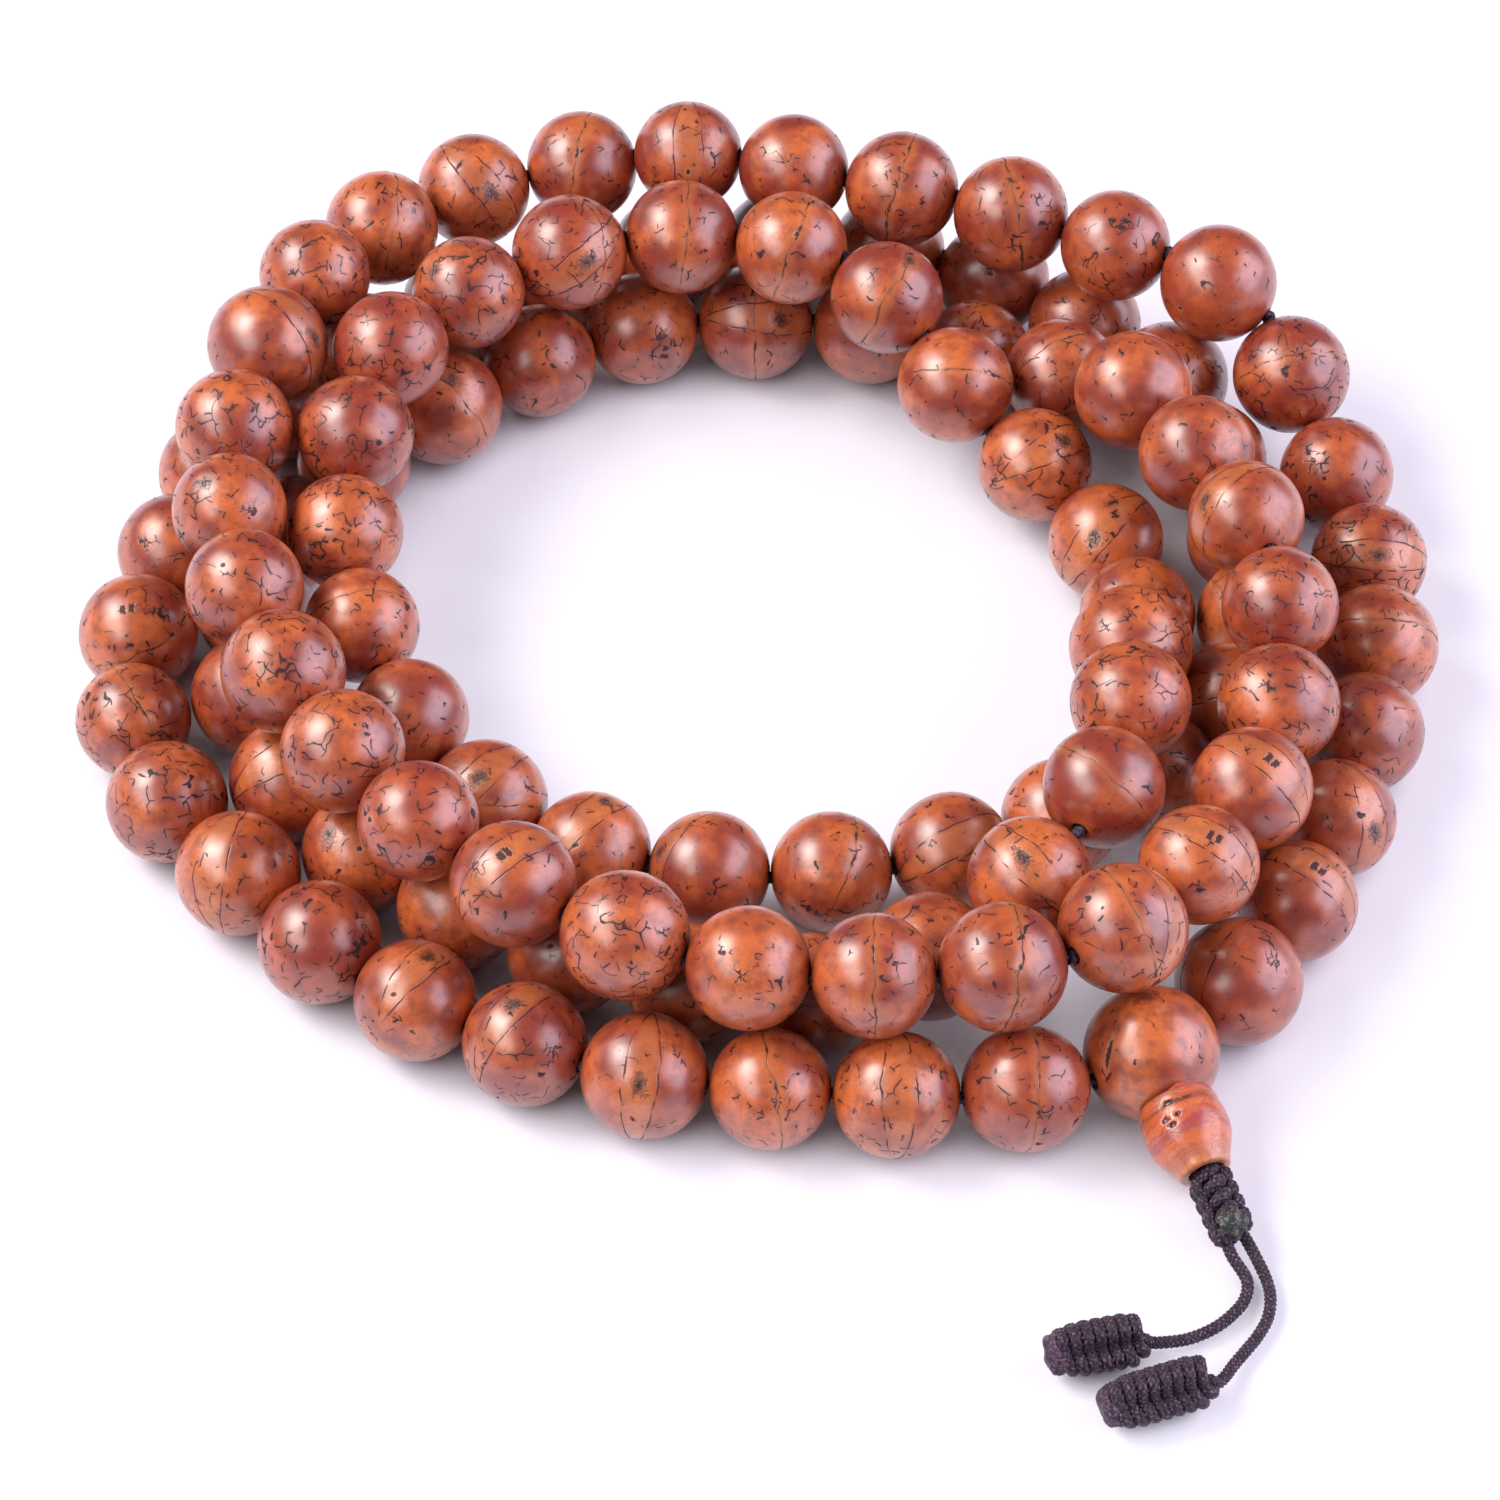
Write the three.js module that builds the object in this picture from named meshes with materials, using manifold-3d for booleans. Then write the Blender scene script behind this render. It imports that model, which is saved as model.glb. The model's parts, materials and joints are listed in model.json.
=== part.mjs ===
// Mala of 108 bodhi-seed beads on one cord, laid down as a loose coil of four turns.
// Millimetres, +Z up. The table is at z = 0, and the guru bead with its tassel points to -Y.
import * as THREE from 'three';
import { mergeVertices } from 'three/addons/utils/BufferGeometryUtils.js';
import Module from 'manifold-3d';

const wasm = await Module();
wasm.setup();

// Corners closer than this share of the fit gap are one corner
const weld_share = 0.001;

// Driving dimensions
const bead_count = 108;
const bead_diameter = 10;
const bead_bore_diameter = 1.8;
const guru_diameter = 10.9;
const cord_diameter = 1.05;
const fit_gap = 0.3;

// Beads are turned from seeds, so their sizes differ a little along the strand
const bead_swing_share = 0.035;
const size_rhythm_shares = [1.7, 0.43];

// Beads that turn one by one, counted back from the guru. The others are joined in runs
const loose_bead_count = 43;
const run_count = 6;
const run_neck_diameter = 3.6;

// Facets
const bead_sides = 10;
const run_sides = 8;
const guru_sides = 16;
const cord_sides = 6;
const half_round_sides = 5;
const tail_sides = 8;
const sinnet_sides = 16;
const blob_rings = 6;

// Both legs of the cord leave by the guru's third hole, side by side, and go through the tower bead
const pair_bore_diameter = cord_diameter * 2 + fit_gap * 2;
const leg_meeting_distance = 1.3;

// Tower bead: its wide rim is cupped and sits round the guru, its neck holds the binding knot
const tower_diameter = 7;
const tower_length = 6.5;
const tower_rim_cup_diameter = 5.8;
const tassel_slope_deg = 11;
const tassel_heading_deg = -68;

// Binding knot: a flat sinnet of square knots tied over the two legs
const binding_width = 3.9;
const binding_thickness = 3;
const binding_length = 6.3;
const binding_loops = 5;
const melted_end_diameter = 2.5;
const melted_end_sunk_share = 0.33;

// One loop of the sinnet: distance along it as a share of its pitch,
// and width as a share of the full width
const sinnet_crest_shares = [[0.08, 0.84], [0.34, 1], [0.66, 1], [0.92, 0.84]];

// Tails and the wrapped end knots on them
const end_knot_diameter = 4.4;
const wrap_cord_diameter = 0.7;
const wrap_pitch = 1.13;
const wrap_steps = 16;
const left_wrap_turns = 6;
const right_wrap_turns = 7;
const tail_steps = 10;

// Tail routes, in cord diameters from the end of the binding knot: x, y and height over the table
const left_tail_route_shares = [
  [-0.6, -0.6, 0.8], [0.6, -2.6, 0.1], [0.35, -4.4, 0], [-0.8, -6, 0],
  [-2.2, -7.2, 0], [-4.1, -8.2, 0.1], [-6.5, -9, 0.7],
];
const right_tail_route_shares = [
  [0.9, 0, 0.8], [2.05, -2.5, 0.1], [2.3, -4.3, 0], [2, -6.1, 0],
  [1.1, -7.9, 0], [-0.4, -10.1, 0.1], [-1.85, -12.5, 0.7],
];
const left_end_heading_deg = -166;
const right_end_heading_deg = -159;

// Route of the strand from the guru round to it again, every third bead, in bead diameters:
// x, y and the height above a bead that lies on the table
const strand_route_shares = [
  [3.35, -4.65, 0], [0.6, -5.1, 0], [-2.5, -4.2, 0], [-4.8, -2, 0], [-5.05, 1, 0], [-3.4, 3.6, 0],
  [-0.4, 4.9, 0], [2.7, 4.2, 0], [4.2, 1.6, 0], [3.7, -1.2, 0], [1.15, -2.75, 0], [-1.8, -2.4, 0],
  [-3.4, -0.3, 0.6], [-3.2, 2.6, 0.9], [-0.8, 4, 1], [2, 2.7, 0.5], [3.4, 0.2, 0], [3, -2.5, 0.9],
  [0.4, -4, 0], [-2.5, -3.2, 0], [-4.4, -0.8, 0], [-3.5, 2.1, 0], [-1, 3.7, 0], [2, 3.5, 0],
  [3.9, 1.3, 0.8], [4.4, -1.7, 0.8], [2.8, -4.3, 1], [-0.1, -4.5, 0.9], [-2.7, -3.1, 1], [-4.3, -0.5, 1],
  [-4.3, 2.5, 1], [-2.6, 5, 0.7], [0.4, 4.8, 1], [3.3, 3.8, 0.9], [5.2, 1.8, 0], [5.2, -1.1, 0],
];

// Settling: each pass lets the beads sink a little, draws them to the route
// and parts those that overlap.
// The cord is stiff enough to keep every second bead at this share of its farthest reach
const settle_passes = 900;
const free_share = 0.6;
const sink_share = 0.002;
const draw_share = 0.03;
const straight_share = 0.97;
const bore_passes = 6;

// Outline of the tower bead: distance from the rim as a share of its length,
// and radius as a share of its half width
const tower_outline_shares = [
  [0, 0.9], [0.05, 0.97], [0.14, 0.98], [0.2, 0.93], [0.27, 0.98], [0.42, 1],
  [0.6, 0.93], [0.78, 0.76], [0.9, 0.64], [0.96, 0.66], [1, 0.6],
];
const bead_ring_degrees = [54, 90, 126];

const up = new THREE.Vector3(0, 0, 1);
const seed_colour = '#a85a2c';
const dark_seed_colour = '#8a4a2a';
const light_seed_colour = '#b96a35';
const tower_colour = '#b0604a';
const cord_colour = '#33262a';

function seed_material(colour) {
  return new THREE.MeshStandardMaterial({ color: colour, roughness: 0.28, metalness: 0 });
}

function cord_material() {
  return new THREE.MeshStandardMaterial({ color: cord_colour, roughness: 0.8, metalness: 0 });
}

// Closed body through rings of points. An open stack gets flat ends,
// and a looped one joins its last ring to its first
function loft(rings, looped) {
  const sides = rings[0].length;
  const points = rings.flat();
  const faces = [];
  const last = looped ? rings.length : rings.length - 1;
  for (let r = 0; r < last; r += 1) {
    const near = r * sides;
    const far = ((r + 1) % rings.length) * sides;
    for (let s = 0; s < sides; s += 1) {
      const t = (s + 1) % sides;
      faces.push(near + s, near + t, far + t, near + s, far + t, far + s);
    }
  }
  if (!looped) {
    const top = (rings.length - 1) * sides;
    for (let s = 1; s < sides - 1; s += 1) {
      faces.push(0, s + 1, s, top, top + s, top + s + 1);
    }
  }
  const geometry = new THREE.BufferGeometry().setFromPoints(points);
  geometry.setIndex(faces);
  geometry.computeVertexNormals();
  return geometry;
}

// Ring of points round a centre, square to a direction.
// It starts on the side away from the coil's middle
function ring(centre, direction, radius, sides) {
  const outward = new THREE.Vector3(centre.x, centre.y, 0);
  const over = new THREE.Vector3().crossVectors(direction, outward).normalize();
  const across = new THREE.Vector3().crossVectors(over, direction).normalize();
  const points = [];
  for (let s = 0; s < sides; s += 1) {
    const angle = (s / sides) * Math.PI * 2;
    const point = centre.clone();
    point.addScaledVector(across, radius * Math.cos(angle));
    point.addScaledVector(over, radius * Math.sin(angle));
    points.push(point);
  }
  return points;
}

function to_solid(geometry) {
  const bare = geometry.clone();
  bare.deleteAttribute('normal');
  bare.deleteAttribute('uv');
  const merged = mergeVertices(bare, fit_gap * weld_share);
  const vertProperties = new Float32Array(merged.attributes.position.array);
  const triVerts = new Uint32Array(merged.index.array);
  return new wasm.Manifold(new wasm.Mesh({ numProp: 3, vertProperties, triVerts }));
}

function to_geometry(solid) {
  const mesh = solid.getMesh();
  const geometry = new THREE.BufferGeometry();
  geometry.setAttribute('position', new THREE.BufferAttribute(mesh.vertProperties, 3));
  geometry.setIndex(new THREE.BufferAttribute(mesh.triVerts, 1));
  geometry.computeVertexNormals();
  return geometry;
}

// Place 0 on the strand is the guru, places 1 to 108 are the seed beads
function strand_radius(place) {
  if (place === 0) {
    return guru_diameter / 2;
  }
  const swing = Math.sin(place * size_rhythm_shares[0]) + Math.sin(place * place * size_rhythm_shares[1]);
  return (bead_diameter / 2) * (1 + (bead_swing_share * swing) / 2);
}

function strand_start() {
  const points = strand_route_shares.map(([x, y, height]) => new THREE.Vector3(x, y, height));
  const route = new THREE.CatmullRomCurve3(points, true);
  const spaced = route.getSpacedPoints(bead_count + 1).slice(0, bead_count + 1);
  return spaced.map((point) => {
    point.multiplyScalar(bead_diameter);
    point.z += bead_diameter / 2;
    return point;
  });
}

// From a bead's middle, along its bore, to where the bead is as narrow as the radius given
function distance_to_narrow(radius, narrow) {
  return Math.sqrt(radius ** 2 - narrow ** 2);
}

// From a bead's middle to the mouth of its bore
function bore_half_length(radius) {
  return distance_to_narrow(radius, bead_bore_diameter / 2);
}

function part_pair(a, b, distance, only_apart) {
  const between = new THREE.Vector3().subVectors(b, a);
  const length = between.length();
  if (only_apart && length >= distance) {
    return;
  }
  between.multiplyScalar((length - distance) / length / 2);
  a.add(between);
  b.sub(between);
}

// Lets the beads lie down: neighbours keep the fit gap between the mouths of their bores,
// no two beads overlap, and none goes under the table
function settle(start, radii) {
  const places = start.map((point) => point.clone());
  const total = places.length;
  for (let pass = 0; pass < settle_passes; pass += 1) {
    const free = Math.max(0, 1 - pass / (settle_passes * free_share));
    for (let i = 0; i < total; i += 1) {
      places[i].lerp(start[i], draw_share * free);
      places[i].z -= bead_diameter * sink_share * free;
    }
    for (let i = 0; i < total; i += 1) {
      for (let j = i + 2; j < total; j += 1) {
        if (i > 0 || j < total - 1) {
          part_pair(places[i], places[j], radii[i] + radii[j] + fit_gap, true);
        }
      }
    }
    for (let i = 0; i < total; i += 1) {
      const next = (i + 1) % total;
      const beyond = (i + 2) % total;
      const pitch = bore_half_length(radii[i]) + bore_half_length(radii[next]) + fit_gap;
      part_pair(places[i], places[next], pitch, false);
      if (next > 0) {
        part_pair(places[i], places[beyond], pitch * 2 * straight_share, true);
      }
    }
    for (let i = 0; i < total; i += 1) {
      places[i].z = Math.max(places[i].z, radii[i]);
    }
  }
  return places;
}

function least_strand_gap(places, radii) {
  let least = Infinity;
  for (let i = 0; i < places.length; i += 1) {
    for (let j = i + 1; j < places.length; j += 1) {
      least = Math.min(least, places[i].distanceTo(places[j]) - radii[i] - radii[j]);
    }
  }
  return least;
}

// Each bead's bore points from the bead before it to the bead after it.
// The guru's has no bore of this kind
function bore_directions(places) {
  return places.map((point, i) => {
    const before = places[(i + places.length - 1) % places.length];
    const after = places[(i + 1) % places.length];
    return new THREE.Vector3().subVectors(after, before).normalize();
  });
}

// Where the cord crosses from a bead to the next one
function crossings(places, directions, radii) {
  return places.map((point, i) => {
    const next = (i + 1) % places.length;
    const out = point.clone().addScaledVector(directions[i], i === 0 ? 0 : radii[i]);
    const inward = places[next].clone().addScaledVector(directions[next], next === 0 ? 0 : -radii[next]);
    if (i === 0) {
      return inward;
    }
    return next === 0 ? out : out.add(inward).multiplyScalar(1 / 2);
  });
}

// Turns each bore to lie along the cord between its two crossings
function line_up_bores(places, directions, radii) {
  let lined = directions;
  for (let pass = 0; pass < bore_passes; pass += 1) {
    const joints = crossings(places, lined, radii);
    lined = joints.map((joint, i) => {
      const before = joints[(i + joints.length - 1) % joints.length];
      return new THREE.Vector3().subVectors(joint, before).normalize();
    });
  }
  return lined;
}

// One seed bead, bored through and turned round its own Y axis
function seed_bead(radius) {
  const bore = bead_bore_diameter / 2;
  const half = bore_half_length(radius);
  const profile = [new THREE.Vector2(bore, -half)];
  for (const degrees of bead_ring_degrees) {
    const angle = THREE.MathUtils.degToRad(degrees);
    profile.push(new THREE.Vector2(radius * Math.sin(angle), -radius * Math.cos(angle)));
  }
  profile.push(new THREE.Vector2(bore, half));
  profile.push(profile[0].clone());
  return new THREE.LatheGeometry(profile, bead_sides);
}

// Beads that touch end to end, joined at their necks, with the cord's bore all the way through
function bead_run(first, last, places, directions, radii, joints) {
  const outer = [];
  const bore = [];
  const neck = run_neck_diameter / 2;
  const hole = bead_bore_diameter / 2;
  for (let i = first; i <= last; i += 1) {
    const way = directions[i];
    const half = bore_half_length(radii[i]);
    const shoulder = distance_to_narrow(radii[i], neck);
    const at = (distance) => places[i].clone().addScaledVector(way, distance);
    bore.push(ring(at(-half), way, hole, run_sides));
    bore.push(ring(at(half), way, hole, run_sides));
    if (i === first) {
      outer.push(ring(at(-shoulder), way, neck, run_sides));
    }
    for (const degrees of bead_ring_degrees) {
      const angle = THREE.MathUtils.degToRad(degrees);
      outer.push(ring(at(-radii[i] * Math.cos(angle)), way, radii[i] * Math.sin(angle), run_sides));
    }
    if (i === last) {
      outer.push(ring(at(shoulder), way, neck, run_sides));
    } else {
      const after = new THREE.Vector3().addVectors(way, directions[i + 1]).normalize();
      outer.push(ring(joints[i], after, neck, run_sides));
    }
  }
  return loft([...outer, ...bore.reverse()], true);
}

// The cord's course through the beads, from inside the guru round to it again
function stringing_cord(places, directions, radii, joints) {
  const cord = cord_diameter / 2;
  const guru = places[0];
  const out = new THREE.Vector3().subVectors(joints[0], guru).normalize();
  const home = new THREE.Vector3().subVectors(guru, joints.at(-1)).normalize();
  const rings = [ring(guru.clone().addScaledVector(out, leg_meeting_distance), out, cord, cord_sides)];
  for (let i = 1; i < places.length; i += 1) {
    const half = bore_half_length(radii[i]);
    const at = (distance) => places[i].clone().addScaledVector(directions[i], distance);
    rings.push(ring(at(-half), directions[i], cord, cord_sides));
    rings.push(ring(at(half), directions[i], cord, cord_sides));
  }
  rings.push(ring(guru.clone().addScaledVector(home, -leg_meeting_distance), home, cord, cord_sides));
  return loft(rings, false);
}

// Closed rod along a direction, for cutting a bore from a bead's middle outwards
function boring_rod(centre, direction, radius, length) {
  const rod = new THREE.CylinderGeometry(radius, radius, length, run_sides * 2);
  rod.translate(0, length / 2, 0);
  rod.applyQuaternion(new THREE.Quaternion().setFromUnitVectors(new THREE.Vector3(0, 1, 0), direction));
  rod.translate(centre.x, centre.y, centre.z);
  return to_solid(rod);
}

// The guru has three holes: one for each end of the strand, and a wider one where both legs leave
function guru_bead(ways, tassel_way) {
  const radius = guru_diameter / 2;
  const middle = new THREE.Vector3();
  const ball = new THREE.SphereGeometry(radius, guru_sides, Math.round(guru_sides / 2));
  let solid = to_solid(ball);
  for (const way of ways) {
    solid = solid.subtract(boring_rod(middle, way, bead_bore_diameter / 2, guru_diameter));
  }
  solid = solid.subtract(boring_rod(middle, tassel_way, pair_bore_diameter / 2, guru_diameter));
  return to_geometry(solid);
}

// Tower bead round its own Y axis, with its cupped rim at y = 0
function tower_bead() {
  const half = tower_diameter / 2;
  const bore = pair_bore_diameter / 2;
  const cup = tower_rim_cup_diameter / 2;
  const guru = guru_diameter / 2;
  const seat = Math.sqrt(guru * guru - cup * cup);
  const floor = Math.sqrt(guru * guru - bore * bore) - seat;
  const profile = tower_outline_shares.map(
    ([along, out]) => new THREE.Vector2(out * half, along * tower_length),
  );
  profile.push(new THREE.Vector2(bore, tower_length));
  profile.push(new THREE.Vector2(bore, floor));
  profile.push(new THREE.Vector2(cup, 0));
  profile.push(profile[0].clone());
  return new THREE.LatheGeometry(profile, guru_sides);
}

// Two legs of the cord lying side by side
function cord_pair(length) {
  const leg = cord_diameter / 2;
  const outline = new THREE.Shape();
  outline.absarc(leg, 0, leg, -Math.PI / 2, Math.PI / 2);
  outline.absarc(-leg, 0, leg, Math.PI / 2, (Math.PI * 3) / 2);
  const options = { depth: length, bevelEnabled: false, curveSegments: half_round_sides };
  return new THREE.ExtrudeGeometry(outline, options);
}

// Flat sinnet along its own Z axis: each loop of the tying cord stands out as a ridge across it
function binding_sinnet() {
  const loop = binding_length / binding_loops;
  const rings = [];
  for (let n = 0; n < binding_loops; n += 1) {
    for (const [along, full] of sinnet_crest_shares) {
      const points = [];
      for (let s = 0; s < sinnet_sides; s += 1) {
        const angle = (s / sinnet_sides) * Math.PI * 2;
        const x = (binding_width / 2) * full * Math.cos(angle);
        const y = (binding_thickness / 2) * full * Math.sin(angle);
        points.push(new THREE.Vector3(x, y, (n + along) * loop));
      }
      rings.push(points);
    }
  }
  return loft(rings, false);
}

// The tying cord's cut ends are melted into one blob on the upper face of the last loop
function binding_knot() {
  const blob = new THREE.SphereGeometry(melted_end_diameter / 2, tail_sides, blob_rings);
  const height = binding_thickness * melted_end_sunk_share;
  blob.translate(0, height, binding_length - melted_end_diameter / 2);
  return to_geometry(to_solid(binding_sinnet()).add(to_solid(blob)));
}

function tail_points(shares, knot_end) {
  return shares.map(([x, y, height]) => {
    const lift = cord_diameter / 2 + fit_gap + height * cord_diameter;
    return new THREE.Vector3(knot_end.x + x * cord_diameter, knot_end.y + y * cord_diameter, lift);
  });
}

function tail_cord(points) {
  const outline = new THREE.Shape();
  for (let s = 0; s < tail_sides; s += 1) {
    const angle = (s / tail_sides) * Math.PI * 2;
    const corner = [(cord_diameter / 2) * Math.cos(angle), (cord_diameter / 2) * Math.sin(angle)];
    if (s === 0) {
      outline.moveTo(...corner);
    } else {
      outline.lineTo(...corner);
    }
  }
  const route = new THREE.CatmullRomCurve3(points);
  const options = { steps: tail_steps, extrudePath: route, bevelEnabled: false };
  return new THREE.ExtrudeGeometry(outline, options);
}

function end_knot_length(turns) {
  return turns * wrap_pitch + wrap_cord_diameter * 2;
}

// Core of an end knot round its own Y axis: the folded tail inside the turns
function end_knot_core(turns) {
  const radius = end_knot_diameter / 2 - wrap_cord_diameter - fit_gap;
  const length = end_knot_length(turns);
  const profile = [new THREE.Vector2(0, 0), new THREE.Vector2(radius, 0)];
  profile.push(new THREE.Vector2(radius, length));
  profile.push(new THREE.Vector2(radius / 2, length + radius / 2));
  profile.push(new THREE.Vector2(0, length + radius / 2));
  return new THREE.LatheGeometry(profile, bead_sides);
}

// Turns of an end knot as one unbroken tube round its own Y axis
function wrap_route(turns) {
  const radius = (end_knot_diameter - wrap_cord_diameter) / 2;
  const points = [];
  for (let step = 0; step <= turns * wrap_steps; step += 1) {
    const turn = step / wrap_steps;
    const angle = turn * Math.PI * 2;
    const along = wrap_cord_diameter + turn * wrap_pitch;
    points.push(new THREE.Vector3(radius * Math.cos(angle), along, radius * Math.sin(angle)));
  }
  const lead = points[0].clone().sub(points[1]).setLength(wrap_cord_diameter);
  const tail = points.at(-1).clone().sub(points.at(-2)).setLength(wrap_cord_diameter);
  points.unshift(points[0].clone().add(lead));
  points.push(points.at(-1).clone().add(tail));
  return points;
}

function least_turn_gap(points) {
  let least = Infinity;
  for (let i = 0; i < points.length; i += 1) {
    for (let j = i + Math.round(wrap_steps / 2); j < points.length; j += 1) {
      least = Math.min(least, points[i].distanceTo(points[j]) - wrap_cord_diameter);
    }
  }
  return least;
}

function end_knot_wrap(turns) {
  const points = wrap_route(turns);
  const axis = new THREE.Vector3(0, 1, 0);
  const rings = points.map((point, i) => {
    const before = points[Math.max(i - 1, 0)];
    const after = points[Math.min(i + 1, points.length - 1)];
    const way = new THREE.Vector3().subVectors(after, before).normalize();
    const out = new THREE.Vector3().crossVectors(axis, way).normalize();
    const side = new THREE.Vector3().crossVectors(way, out);
    const corners = [];
    for (let s = 0; s < cord_sides; s += 1) {
      const angle = (s / cord_sides) * Math.PI * 2;
      const corner = point.clone().addScaledVector(out, (wrap_cord_diameter / 2) * Math.cos(angle));
      corners.push(corner.addScaledVector(side, (wrap_cord_diameter / 2) * Math.sin(angle)));
    }
    return corners;
  });
  console.log('least gap between turns', least_turn_gap(points).toFixed(2), 'mm');
  return loft(rings, false);
}

const mala = new THREE.Group();

function add_piece(name, geometry, material, place, turn) {
  const mesh = new THREE.Mesh(geometry, material);
  mesh.name = name;
  if (place) {
    mesh.position.copy(place);
  }
  if (turn) {
    mesh.quaternion.copy(turn);
  }
  mala.add(mesh);
  return mesh;
}

function turn_from_y(direction) {
  return new THREE.Quaternion().setFromUnitVectors(new THREE.Vector3(0, 1, 0), direction);
}

// Turn that lays a piece's own Z along a direction and keeps its own Y uppermost
function turn_from_z(direction) {
  const across = new THREE.Vector3().crossVectors(up, direction).normalize();
  const over = new THREE.Vector3().crossVectors(direction, across);
  const basis = new THREE.Matrix4().makeBasis(across, over, direction);
  return new THREE.Quaternion().setFromRotationMatrix(basis);
}

const radii = Array.from({ length: bead_count + 1 }, (unused, place) => strand_radius(place));
const places = settle(strand_start(), radii);
const directions = line_up_bores(places, bore_directions(places), radii);
const joints = crossings(places, directions, radii);
console.log('least gap between beads', least_strand_gap(places, radii).toFixed(2), 'mm');

// Beads on the first turns, in runs
const seed_colours = [seed_colour, dark_seed_colour, light_seed_colour];
const joined_count = bead_count - loose_bead_count;
for (let run = 0; run < run_count; run += 1) {
  const first = Math.round((joined_count * run) / run_count) + 1;
  const last = Math.round((joined_count * (run + 1)) / run_count);
  const geometry = bead_run(first, last, places, directions, radii, joints);
  const label = [first, last].map((place) => String(place).padStart(3, '0')).join('_');
  add_piece(`bead_run_${label}`, geometry, seed_material(seed_colours[run % seed_colours.length]));
}

// Beads on the last turns, one by one
for (let place = joined_count + 1; place <= bead_count; place += 1) {
  const name = `bead_${String(place).padStart(3, '0')}`;
  const material = seed_material(seed_colours[place % seed_colours.length]);
  add_piece(name, seed_bead(radii[place]), material, places[place], turn_from_y(directions[place]));
}

add_piece('stringing_cord', stringing_cord(places, directions, radii, joints), cord_material());

// Guru, tower bead, legs and binding knot on one straight line that slopes down to the table
const slope = THREE.MathUtils.degToRad(tassel_slope_deg);
const heading = THREE.MathUtils.degToRad(tassel_heading_deg);
const tassel_way = new THREE.Vector3(
  Math.cos(heading) * Math.cos(slope),
  Math.sin(heading) * Math.cos(slope),
  -Math.sin(slope),
);
const guru_place = places[0];
const guru_ways = [joints[0], joints[bead_count]].map((joint) => joint.clone().sub(guru_place).normalize());
add_piece('guru_bead', guru_bead(guru_ways, tassel_way), seed_material(seed_colour), guru_place);

const cup_half = tower_rim_cup_diameter / 2;
const rim_distance = Math.sqrt((guru_diameter / 2) ** 2 - cup_half ** 2) + fit_gap;
const along_tassel = (distance) => guru_place.clone().addScaledVector(tassel_way, distance);
const tower_turn = turn_from_y(tassel_way);
add_piece('tower_bead', tower_bead(), seed_material(tower_colour), along_tassel(rim_distance), tower_turn);

const neck_distance = rim_distance + tower_length;
const pair_start = leg_meeting_distance + cord_diameter / 2;
const pair_length = neck_distance - pair_start;
const tassel_turn = turn_from_z(tassel_way);
add_piece('cord_pair', cord_pair(pair_length), cord_material(), along_tassel(pair_start), tassel_turn);

const binding_distance = neck_distance + fit_gap;
add_piece('binding_knot', binding_knot(), cord_material(), along_tassel(binding_distance), tassel_turn);

// Tails and end knots
const knot_end = along_tassel(binding_distance + binding_length);
const tails = [
  ['left', left_tail_route_shares, left_wrap_turns, left_end_heading_deg],
  ['right', right_tail_route_shares, right_wrap_turns, right_end_heading_deg],
];
for (const [side, shares, turns, end_heading_deg] of tails) {
  const points = tail_points(shares, knot_end);
  const end_heading = THREE.MathUtils.degToRad(end_heading_deg);
  const way = new THREE.Vector3(Math.cos(end_heading), Math.sin(end_heading), 0);
  const place = points.at(-1).clone().addScaledVector(way, fit_gap * 2);
  place.z = end_knot_diameter / 2 + fit_gap;
  const turn = turn_from_y(way);
  add_piece(`tail_cord_${side}`, tail_cord(points), cord_material());
  add_piece(`end_knot_core_${side}`, end_knot_core(turns), cord_material(), place, turn);
  add_piece(`end_knot_wrap_${side}`, end_knot_wrap(turns), cord_material(), place, turn);
}

// The origin is under the middle of the mala, without its tails
const body = new THREE.Box3();
mala.updateMatrixWorld(true);
for (const piece of mala.children.filter((child) => !/^(tail|end_knot)/.test(child.name))) {
  body.union(new THREE.Box3().setFromObject(piece, true));
}
const middle = body.getCenter(new THREE.Vector3());
mala.position.set(-middle.x, -middle.y, -body.min.z);

export default mala;
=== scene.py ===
# %% [markdown]
# # A mala of 108 bodhi seeds
#
# A mala is a strand of prayer beads: 108 seeds and one larger guru bead on a single cord. Behind the
# guru bead sits a small tower bead, then a binding knot and two tails with wrapped end knots. This
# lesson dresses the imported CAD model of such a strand, laid down as a loose coil on a table.
#
# The CAD model is loaded first and stays the frame for all that follows. Each new piece is built at
# the place the frame gives, rides on one of its bodies and stands for one of its nodes.

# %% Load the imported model
import json
import math
import random

import bmesh
import bpy
import numpy as np
from mathutils import Matrix, Vector, noise

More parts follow.
